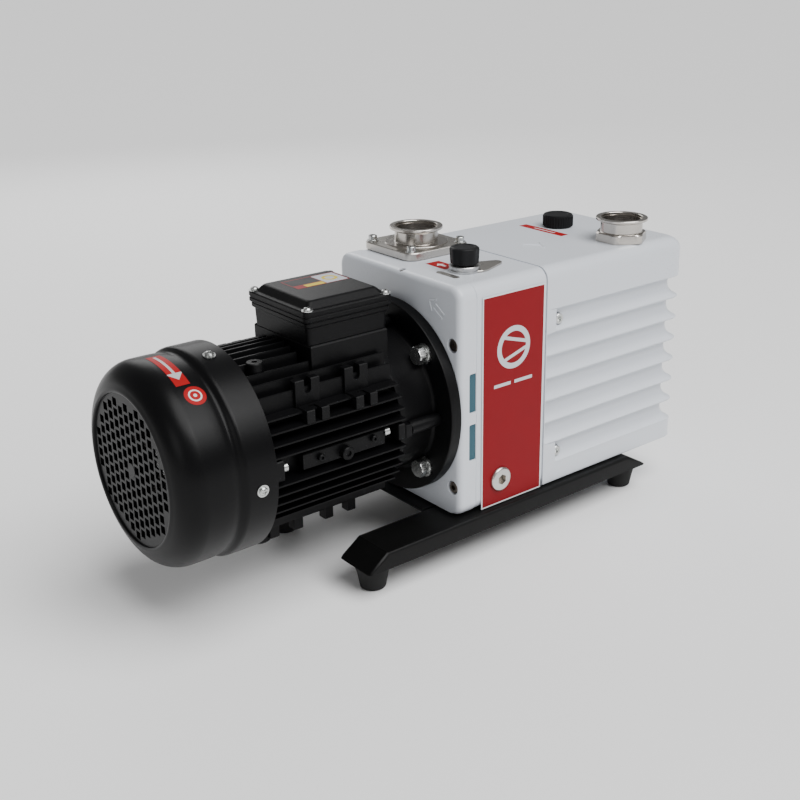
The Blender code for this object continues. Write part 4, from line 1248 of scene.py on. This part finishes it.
class PUMP_OT_motor_bell(bpy.types.Operator):
    """The motor's flange and conical end shield, with its tie-bolt bosses"""

    bl_idname = "pump.motor_bell"
    bl_label = "Motor end shield"

    def execute(self, context):
        profile = [(4.0, 13.0), (4.0, 64.5), (-0.3, 64.5), (-0.3, 98.2), (-0.9, 98.8), (-11.2, 98.8)]
        profile += [(-12.2, 98.2), (-12.6, 97.2), (-12.6, 76.8), (-13.2, 74.8), (-14.8, 73.2), (-17.5, 72.6)]
        profile += [(-26.0, 72.6), (-38.0, 74.0), (-48.0, 76.6), (-54.0, 78.0), (-56.4, 78.0), (-57.0, 77.4)]
        profile += [(-57.0, 62.0), (-24.0, 60.0), (-24.0, 26.3), (-6.0, 26.3), (-6.0, 13.0)]
        bell = lathe("bell", "X", SHAFT, profile, "black_cast", 128, 26)
        tools = [
            drill("X", (y, SHAFT_Z + z), 5.4, -30, 5, 32) for y in (-BOLTS, BOLTS) for z in (-BOLTS, BOLTS)
        ]
        cut(bell, *tools, smooth=26)
        bosses = []
        for turn in range(4):
            angle = math.radians(90 * turn + 1.5)
            centre = (78.5 * math.cos(angle), SHAFT_Z + 78.5 * math.sin(angle))
            profile = [(-12.0, 0), (-12.0, 5.2), (-16.0, 6.2), (-34.0, 6.6), (-48.0, 6.8), (-48.4, 6.6), (-48.4, 0)]
            bosses.append(lathe("boss", "X", centre, profile, "black_cast", 40))
            ear = rounded((centre[0] - 6.4, centre[1] - 6.4), (centre[0] + 6.4, centre[1] + 6.4), 1.6, 4)
            small = rounded((centre[0] - 5.8, centre[1] - 5.8), (centre[0] + 5.8, centre[1] + 5.8), 1.3, 4)
            levels = [(-57.0, small), (-56.4, ear), (-49.8, ear), (-49.0, small)]
            bosses.append(stack("ear", "X", levels, "black_cast"))
        piece = merge("motor_end_shield_piece", bell, *bosses)
        hand_over(piece, "frame", ["motor_end_shield"])
        return {"FINISHED"}


class PUMP_OT_motor_frame(bpy.types.Operator):
    """The finned motor barrel with its lugs, side pad and rear shield"""

    bl_idname = "pump.motor_frame"
    bl_label = "Motor barrel"

    def execute(self, context):
        core = mm(sizes().barrel_radius)
        tip = mm(sizes().barrel_fin)
        rear, front = -207.0, -57.3
        barrel = lathe(
            "barrel", "X", SHAFT, [(rear, 62.0), (rear, core), (front, core), (front, 62.0)], "black_cast", 96
        )
        fin = fin_template(front - rear)
        points, aims, scales = [], [], []
        middle = (front + rear) / 2

        def fin_rows(rows, aim, x=middle, share=1.0):
            """One fin for each row across the barrel, from just inside it out to the tip radius."""
            for row in rows:
                root = math.sqrt(core**2 - row**2) - 2.5
                across, up = (aim[1] * root, row) if aim[1] else (row, aim[2] * root)
                points.append((x, across, SHAFT_Z + up))
                aims.append(aim)
                scales.append((share, 1.0, math.sqrt(tip**2 - row**2) - root))

        for side in (-1, 1):
            fin_rows((43.0, 32.5, 22.0, 12.0, -15.0, -25.0, -35.0, -45.0, -54.5), (0.0, side, 0.0))
        fin_rows((-62.0, -52.5, -43.0, 43.0, 52.5, 62.0), (0.0, 0.0, 1.0))
        fin_rows(range(-50, 51, 10), (0.0, 0.0, -1.0))
        fin_rows(range(-30, 31, 10), (0.0, 0.0, 1.0), -172.0, 0.46)
        seed = seed_points("fin_points", points, aims, scales)
        fins = run_tree("fins", fastener_tree(), seed, {"Template": fin, "Look": LOOKS["black_cast"]}, 40)
        bpy.data.objects.remove(fin)

        parts = [barrel, fins]
        parts.append(block("pedestal", (-133.0, -47.5, 208.0), (-47.0, 47.5, 241.6), "black_cast", 1.2))
        for side in (-1, 1):
            for x in (-150.5, -98.0):
                parts += corner_lug(x, side)
            near = sorted((side * 64.0, side * 80.6))
            parts.append(block("pad", (-168.0, near[0], 144.0), (-78.0, near[1], 159.0), "black_cast", 0.8))
            plugs = ((-123.5, 149.5, 6.2, 87.0), (-150.0, 152.0, 3.4, 84.5), (-92.0, 154.0, 3.4, 84.5))
            for x, z, radius, out in plugs:
                face = side * out
                profile = [(side * 70, 0), (side * 70, radius), (face - side * 0.6, radius), (face, radius - 0.6)]
                profile += [(face, radius * 0.45), (face - side * 1.6, radius * 0.4), (face - side * 1.6, 0)]
                parts.append(lathe("plug", "Y", (x, z), profile, "black_cast", 32))
            y0, y1 = sorted((side * 68.0, side * 86.0))
            parts.append(block("tie", (-66.0, y0, 145.0), (-58.0, y1, 161.0), "black_cast", 1.0))
            parts.append(block("tie", (-206.0, y0, 143.0), (-190.0, y1, 162.0), "black_cast", 1.0))
        for x in (-178.0, -152.0, -118.0, -92.0):
            for y in (-38.0, 38.0):
                parts.append(block("lug", (x - 5, y - 5, 66.0), (x + 5, y + 5, 82.0), "black_cast", 1.0))
        foot = [(61.0, 0), (61.0, 10.6), (62.4, 12.0), (84.0, 12.6), (84.0, 0)]
        parts.append(lathe("foot", "Z", (-186.0, -26.0), foot, "black_cast", 40))
        eye = [(212.0, 0), (212.0, 8.4), (235.4, 7.6), (236.2, 6.8), (236.2, 2.6), (233.0, 2.4), (233.0, 0)]
        parts.append(lathe("eye", "Z", (-183.0, -34.0), eye, "black_cast", 32))
        piece = merge("motor_frame_piece", *parts)
        hand_over(piece, "frame", ["motor_frame"])

        rear_profile = [(-207.3, 84.0), (-209.5, 85.0), (-219.0, 82.5), (-222.0, 79.0)]
        rear_profile += [(-222.0, 13.0), (-217.0, 13.0), (-217.0, 26.3), (-203.0, 26.3)]
        rear_profile += [(-203.0, 34.3), (-212.3, 34.3), (-212.3, 62.0), (-207.3, 62.0)]
        shield = lathe("rear_end_shield_fine", "X", SHAFT, rear_profile, "black_cast", 96)
        hand_over(shield, "frame", ["rear_end_shield"])
        return {"FINISHED"}


def fin_template(length):
    """One fin a millimetre tall, tapering to a rounded tip, its length along x."""
    half = length / 2
    shape = [(-1.75, 0.0), (-1.15, 0.93), (-0.75, 0.985), (0.75, 0.985), (1.15, 0.93), (1.75, 0.0)]
    verts = [(x, y, z) for x in (-half, half) for y, z in shape]
    count = len(shape)
    faces = [tuple(reversed(range(count))), tuple(range(count, 2 * count))]
    for i in range(count):
        j = (i + 1) % count
        faces.append((i, j, count + j, count + i))
    return at_origin(make("template", verts, faces, "black_cast"))


def corner_lug(x, side):
    """A mounting lug at the barrel's upper corner: an upright and a ledge, each with a notch."""
    y = sorted((side * 58.0, side * 66.5))
    upright = block("lug", (x - 13, y[0], 190.0), (x + 13, y[1], 221.5), "black_cast", 0.8)
    cut(upright, prism("tool", "Y", notch_outline(x, 221.5, 3.6, 13.0), y[0] - 3, y[1] + 3, "black_cast"))
    y = sorted((side * 60.0, side * 82.0))
    ledge = block("lug", (x - 12, y[0], 186.0), (x + 12, y[1], 198.5), "black_cast", 0.8)
    mouth = side * 82.0
    slot_y = sorted((mouth - side * 12.0, mouth + side * 3.0))
    cut(ledge, block("tool", (x - 3.6, slot_y[0], 180.0), (x + 3.6, slot_y[1], 205.0), "black_cast", 1.0))
    return [upright, ledge]


def notch_outline(x, top, half, deep):
    return [(x + half, top + 4), (x - half, top + 4)] + arc(x, top - deep + half, half, 180, 360, 9)


def cover_profile():
    """The fan cover's outside, from its open rear edge to the grille's rim."""
    points = [(-203.0, 95.6), (-203.4, 96.3), (-230.0, 96.3), (-232.4, 96.0), (-234.2, 95.0), (-235.8, 93.4)]
    points += [(-237.6, 92.3), (-239.6, 92.2), (-242.0, 92.9), (-245.5, 93.4), (-252.0, 93.6)]
    points += arc(-266.0, 67.8, 25.8, 92, 168, 14)
    points += [(-291.9, 72.0), (-292.0, 70.4), (-291.4, 69.2), (-290.0, 68.6)]
    return points


def cover_radius(x):
    """The cover's outer radius at x."""
    points = cover_profile()
    for (x0, r0), (x1, r1) in zip(points, points[1:]):
        if x1 <= x <= x0 and x0 != x1:
            return r0 + (r1 - r0) * (x - x0) / (x1 - x0)
    return 96.3


def cover_spot(middle_x, middle_turn, lift):
    """Sticker places on the cover: u runs round it and v along it, about a middle in degrees."""

    def at(u, v):
        x = middle_x + v
        radius = cover_radius(x) + lift
        turn = math.radians(middle_turn) + u / 93.0
        return (x, radius * math.cos(turn), SHAFT_Z + radius * math.sin(turn))

    return at


class PUMP_OT_fan_cover(bpy.types.Operator):
    """The pressed fan cover with its grille"""

    bl_idname = "pump.fan_cover"
    bl_label = "Fan cover"

    def execute(self, context):
        outside = cover_profile()
        inside = [(-203.0, 94.2), (-232.0, 94.2), (-237.0, 90.2), (-252.0, 91.4)]
        inside += arc(-266.0, 67.8, 23.8, 92, 168, 12) + [(-289.4, 70.0)]
        shell = lathe("shell", "X", SHAFT, outside + list(reversed(inside)), "black_sheet", 160, 30)
        flat = [(-289.9, 0), (-289.9, 69.6), (-288.1, 69.6), (-288.1, 0)]
        disc = lathe("disc", "X", SHAFT, flat, "black_sheet", 96)
        values = {
            "Radius": 62.5 * MM,
            "Pitch": sizes().grille_pitch,
            "Cell": (0.0074, 0.0074, 0.01),
            "Centre": spot(-289.0, 0.0, SHAFT_Z),
            "Look": LOOKS["black_sheet"],
        }
        cells = run_tree("cells", grille_tree(), bpy.data.meshes.new("cell_seed"), values)
        cut(disc, cells)
        hub = lathe("hub", "X", SHAFT, [(-290.1, 0), (-290.1, 6.4), (-288.3, 6.6), (-288.3, 0)], "black_sheet", 32)
        piece = merge("fan_cover_piece", shell, disc, hub)
        hand_over(piece, "frame", ["fan_cover"])
        return {"FINISHED"}


class PUMP_OT_terminal_box(bpy.types.Operator):
    """The terminal box, its gasketed lid and the cable gland"""

    bl_idname = "pump.terminal_box"
    bl_label = "Terminal box"

    def execute(self, context):
        (x0, _, z0), (x1, half_y, z1) = span("terminal_lid")
        middle, half = (x0 + x1) / 2, (x1 - x0) / 2

        def outline(dx, dy, radius=5.0):
            return rounded((middle - dx, -dy), (middle + dx, dy), radius, 7)

        def hollow(low, high, look):
            """The room inside, 9 mm in from the lid's edges."""
            inside = rounded((middle - half + 9, -half_y + 9), (middle + half - 9, half_y - 9), 4.0)
            return prism("tool", "Z", inside, low, high, look)

        walls = [(241.2, outline(half - 4.6, half_y - 4.2)), (241.8, outline(half - 4.2, half_y - 3.8))]
        walls += [(258.0, outline(half - 3.6, half_y - 3.2)), (259.5, outline(half - 1.6, half_y - 1.4))]
        walls += [(z0 - 1.4, outline(half - 1.4, half_y - 1.2)), (z0 - 1.0, outline(half - 1.8, half_y - 1.6))]
        box = stack("terminal_box_fine", "Z", walls, "black_cast", 36)
        cut(
            box,
            hollow(252.0, z0 + 5, "black_cast"),
            drill("Y", (middle, 258.0), 4.3, half_y - 15, half_y + 5, 32),
            smooth=36,
        )
        hand_over(box, "frame", ["terminal_box"])
        gasket = prism("lid_gasket", "Z", outline(half - 2.0, half_y - 1.8), z0 - 1.0, z0 + 0.1, "rubber")
        cut(gasket, hollow(z0 - 9, z0 + 5, "rubber"))
        hand_over(gasket)
        steps = ((0.0, 0.6), (0.6, 0.0), (3.6, 0.0), (4.2, 0.7), (5.0, 0.7), (5.6, 0.0))
        steps += ((9.0, 0.0), (9.9, 0.9), (10.2, 4.6), (10.8, 5.6))
        levels = [(z0 + step, outline(half - inset, half_y - inset)) for step, inset in steps]
        for drop, inset, radius in ((1.4, 9.6, 4.0), (0.4, 11.2, 3.6), (0.0, 13.0, 3.0)):
            levels.append((z1 - drop, outline(half - inset, half_y - inset, radius)))
        lid = stack("terminal_lid_fine", "Z", levels, "black_cast", 24)
        cut(lid, hollow(z0 - 5, z0 + 5, "black_cast"), smooth=24)
        hand_over(lid, "frame", ["terminal_lid"])
        reach_x, reach_y = half - 5.2, half_y - 5.2
        points = [(middle + a * reach_x, b * reach_y, z0 + 10.0) for a in (-1, 1) for b in (-1, 1)]
        fasteners("lid_screws", pan_screw(3.6), points, [(0, 0, 1)] * 4, "zinc")
        wall = half_y - 1.7
        gland = (middle, 258.0)
        nut = hexagon(gland, 5.4, 48, 0.5)
        levels = [(wall - 11, circle(gland, 3.8, 48)), (wall, circle(gland, 3.8, 48))]
        levels += [(wall + 0.05, nut), (wall + 6, nut)]
        for out, radius in ((6.5, 4.6), (7.2, 5.0), (13, 4.6), (16, 3.6)):
            levels.append((wall + out, circle(gland, radius, 48)))
        entry = stack("cable_gland_fine", "Y", levels, "black_plastic")
        cut(entry, drill("Y", gland, 2.6, wall + 6, wall + 20, 32))
        hand_over(entry, "frame", ["cable_gland"])
        return {"FINISHED"}


class PUMP_OT_fasteners(bpy.types.Operator):
    """Every set of screws and bolts"""

    bl_idname = "pump.fasteners"
    bl_label = "Fasteners"

    def execute(self, context):
        corners = [(a, b) for a in (-1, 1) for b in (-1, 1)]
        points = [(INLET[0] + a * 32.0, INLET[1] + b * 32.0, WHITE_Z[1] + 7.7) for a, b in corners]
        nodes = [f"inlet_screw_{i}" for i in (1, 2, 3, 4)]
        fasteners("inlet_screws", washer_screw(), points, [(0, 0, 1)] * 4, "zinc", nodes)
        points = [(-12.7, a * BOLTS, SHAFT_Z + b * BOLTS) for a, b in corners]
        nodes = [f"flange_bolt_{i}" for i in (1, 2, 3, 4)]
        fasteners("flange_bolts", hex_bolt(), points, [(-1, 0, 0)] * 4, "zinc", nodes)
        points = [(6.6, a * HOUSING_SCREW_Y, z) for a in (-1, 1) for z in HOUSING_SCREW_Z]
        screw = socket_screw(5.9, 5.6, 2.6, "dark_steel")
        fasteners("housing_screws", screw, points, [(-1, 0, 0)] * 4, "dark_steel")
        points = [(x, side * 86.4, z) for side in (-1, 1) for x, z in OIL_BOX_SCREWS]
        aims = [(0, -1, 0), (0, -1, 0), (0, 1, 0), (0, 1, 0)]
        fasteners("oil_box_screws", socket_screw(5.6, 5.4, 2.5, "zinc"), points, aims, "zinc")
        points, aims = [], []
        for turn in (102.8, 184.0, 282.8, 4.0):
            way = (0.0, math.cos(math.radians(turn)), math.sin(math.radians(turn)))
            points.append((-219.0, 96.2 * way[1], SHAFT_Z + 96.2 * way[2]))
            aims.append(way)
        fasteners("cover_screws", pan_screw(3.9), points, aims, "zinc")
        points = [(-74.1, side * 79.0, SHAFT_Z + 3.0) for side in (-1, 1)]
        points += [(-189.8, side * 80.0, SHAFT_Z) for side in (-1, 1)]
        aims = [(-1, 0, 0), (-1, 0, 0), (1, 0, 0), (1, 0, 0)]
        fasteners("tie_bolts", socket_screw(4.4, 5.0, 2.0, "zinc"), points, aims, "zinc")
        return {"FINISHED"}


def washer_screw():
    """A cap screw on a washer, for the inlet plate."""
    profile = [(0, 0), (0, 5.8), (1.0, 5.8), (1.0, 4.7), (1.2, 4.5), (5.2, 4.5), (5.8, 3.9), (5.8, 0)]
    screw = lathe("template", "Z", (0, 0), profile, "zinc", 32)
    return at_origin(cut(screw, prism("tool", "Z", hexagon((0, 0), 2.1, 24, 0.0), 2.6, 9.0, "zinc")))


INNER = {
    "steel": (
        "exhaust_valve", "front_bearing", "rear_bearing", "motor_shaft", "pump_shaft", "ballast_plunger",
        "inlet_valve_plate",
    ),
    "iron": (
        "front_end_plate", "hv_stator", "intermediate_plate", "lv_stator", "rear_end_plate", "stator_core",
        "motor_rotor", "hv_rotor", "lv_rotor",
    ),
    "alloy": ("motor_coupling_hub", "pump_coupling_hub"),
    "rubber": ("shaft_seal",),
    "inner_plastic": (
        "terminal_block", "coupling_spider", "hv_vane_a", "hv_vane_b", "lv_vane_a", "lv_vane_b",
        "cooling_fan",
    ),
}


class PUMP_OT_inner(bpy.types.Operator):
    """Finishes for the pieces inside: shafts, rotors, vanes, plates, bearings and fan"""

    bl_idname = "pump.inner"
    bl_label = "Inner pieces"

    def execute(self, context):
        for look, nodes in INNER.items():
            for node in nodes:
                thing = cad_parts[node]
                thing.data.materials.clear()
                thing.data.materials.append(LOOKS[look])
        return {"FINISHED"}


class PUMP_OT_stage(bpy.types.Operator):
    """A pale floor, soft lights and the camera"""

    bl_idname = "pump.stage"
    bl_label = "Stage"

    def execute(self, context):
        scene = context.scene
        look, graph, shader = finish_look("floor_look", (0.93, 0.93, 0.93), 0.7)
        where = graph.add("ShaderNodeTexCoord", out="Object")
        feed(graph.tree, shader.inputs["Roughness"], noise(graph, where, 3.0) * 0.1 + 0.65)
        mesh = bpy.data.meshes.new("floor")
        corners = ((-30, -30), (30, -30), (30, 30), (-30, 30))
        mesh.from_pydata([(x, y, -0.0006) for x, y in corners], [], [(0, 1, 2, 3)])
        mesh.materials.append(look)
        floor = bpy.data.objects.new("floor", mesh)
        scene.collection.objects.link(floor)
        world = bpy.data.worlds.new("studio")
        world.use_nodes = True
        world.node_tree.nodes["Background"].inputs["Color"].default_value = (1.0, 1.0, 1.0, 1.0)
        world.node_tree.nodes["Background"].inputs["Strength"].default_value = 0.22
        scene.world = world
        sun = bpy.data.lights.new("sky", "SUN")
        sun.energy = 3.5
        sun.angle = math.radians(50)
        above = bpy.data.objects.new("sky", sun)
        above.rotation_euler = Vector((-0.16, 0.50, -1.0)).to_track_quat("-Z", "Y").to_euler()
        scene.collection.objects.link(above)
        lamp("key", (0.5, -1.8, 1.7), 1.1, 16.0)
        lamp("side", (-2.0, -0.9, 1.0), 0.8, 4.0)
        lamp("back", (0.6, 1.9, 1.2), 1.2, 10.0)
        camera = bpy.data.cameras.new("camera")
        camera.lens = 52.74
        camera.shift_x = -0.0730
        camera.shift_y = -0.0184
        camera.clip_end = 30.0
        viewer = bpy.data.objects.new("camera", camera)
        forward = Vector((0.6112, 0.7081, -0.3535)).normalized()
        viewer.rotation_euler = forward.to_track_quat("-Z", "Y").to_euler()
        viewer.location = (-0.6914, -0.8758, 0.5768)
        scene.collection.objects.link(viewer)
        scene.camera = viewer
        return {"FINISHED"}


def lamp(name, place_at, size, power):
    """A soft square light aimed at the pump."""
    light = bpy.data.lights.new(name, "AREA")
    light.size = size
    light.energy = power
    thing = bpy.data.objects.new(name, light)
    thing.location = place_at
    aim = Vector((0.0, 0.0, 0.14)) - Vector(place_at)
    thing.rotation_euler = aim.to_track_quat("-Z", "Y").to_euler()
    bpy.context.scene.collection.objects.link(thing)


OPERATORS = (
    PUMP_OT_finishes,
    PUMP_OT_base,
    PUMP_OT_housing,
    PUMP_OT_pump_body,
    PUMP_OT_oil_box,
    PUMP_OT_label,
    PUMP_OT_ports,
    PUMP_OT_controls,
    PUMP_OT_motor_bell,
    PUMP_OT_motor_frame,
    PUMP_OT_fan_cover,
    PUMP_OT_terminal_box,
    PUMP_OT_fasteners,
    PUMP_OT_inner,
    PUMP_OT_stage,
)


class PUMP_PT_panel(bpy.types.Panel):
    """Lists the pump's sizes, colours and pieces"""

    bl_idname = "PUMP_PT_panel"
    bl_label = "Vacuum Pump"
    bl_space_type = "VIEW_3D"
    bl_region_type = "UI"
    bl_category = "Vacuum Pump"

    def draw(self, context):
        layout = self.layout
        for group in (context.scene.pump_sizes, context.scene.pump_colours):
            for name in type(group).__annotations__:
                layout.prop(group, name)
        for operator in OPERATORS:
            layout.operator(operator.bl_idname)


CLASSES = (PumpSizes, PumpColours, *OPERATORS, PUMP_PT_panel)


def register():
    for each in CLASSES:
        bpy.utils.register_class(each)
    bpy.types.Scene.pump_sizes = bpy.props.PointerProperty(type=PumpSizes)
    bpy.types.Scene.pump_colours = bpy.props.PointerProperty(type=PumpColours)


def unregister():
    del bpy.types.Scene.pump_colours
    del bpy.types.Scene.pump_sizes
    for each in reversed(CLASSES):
        bpy.utils.unregister_class(each)


def main():
    """Builds every piece in order."""
    register()
    for operator in OPERATORS:
        group, name = operator.bl_idname.split(".")
        getattr(getattr(bpy.ops, group), name)()


if __name__ == "__main__":
    main()
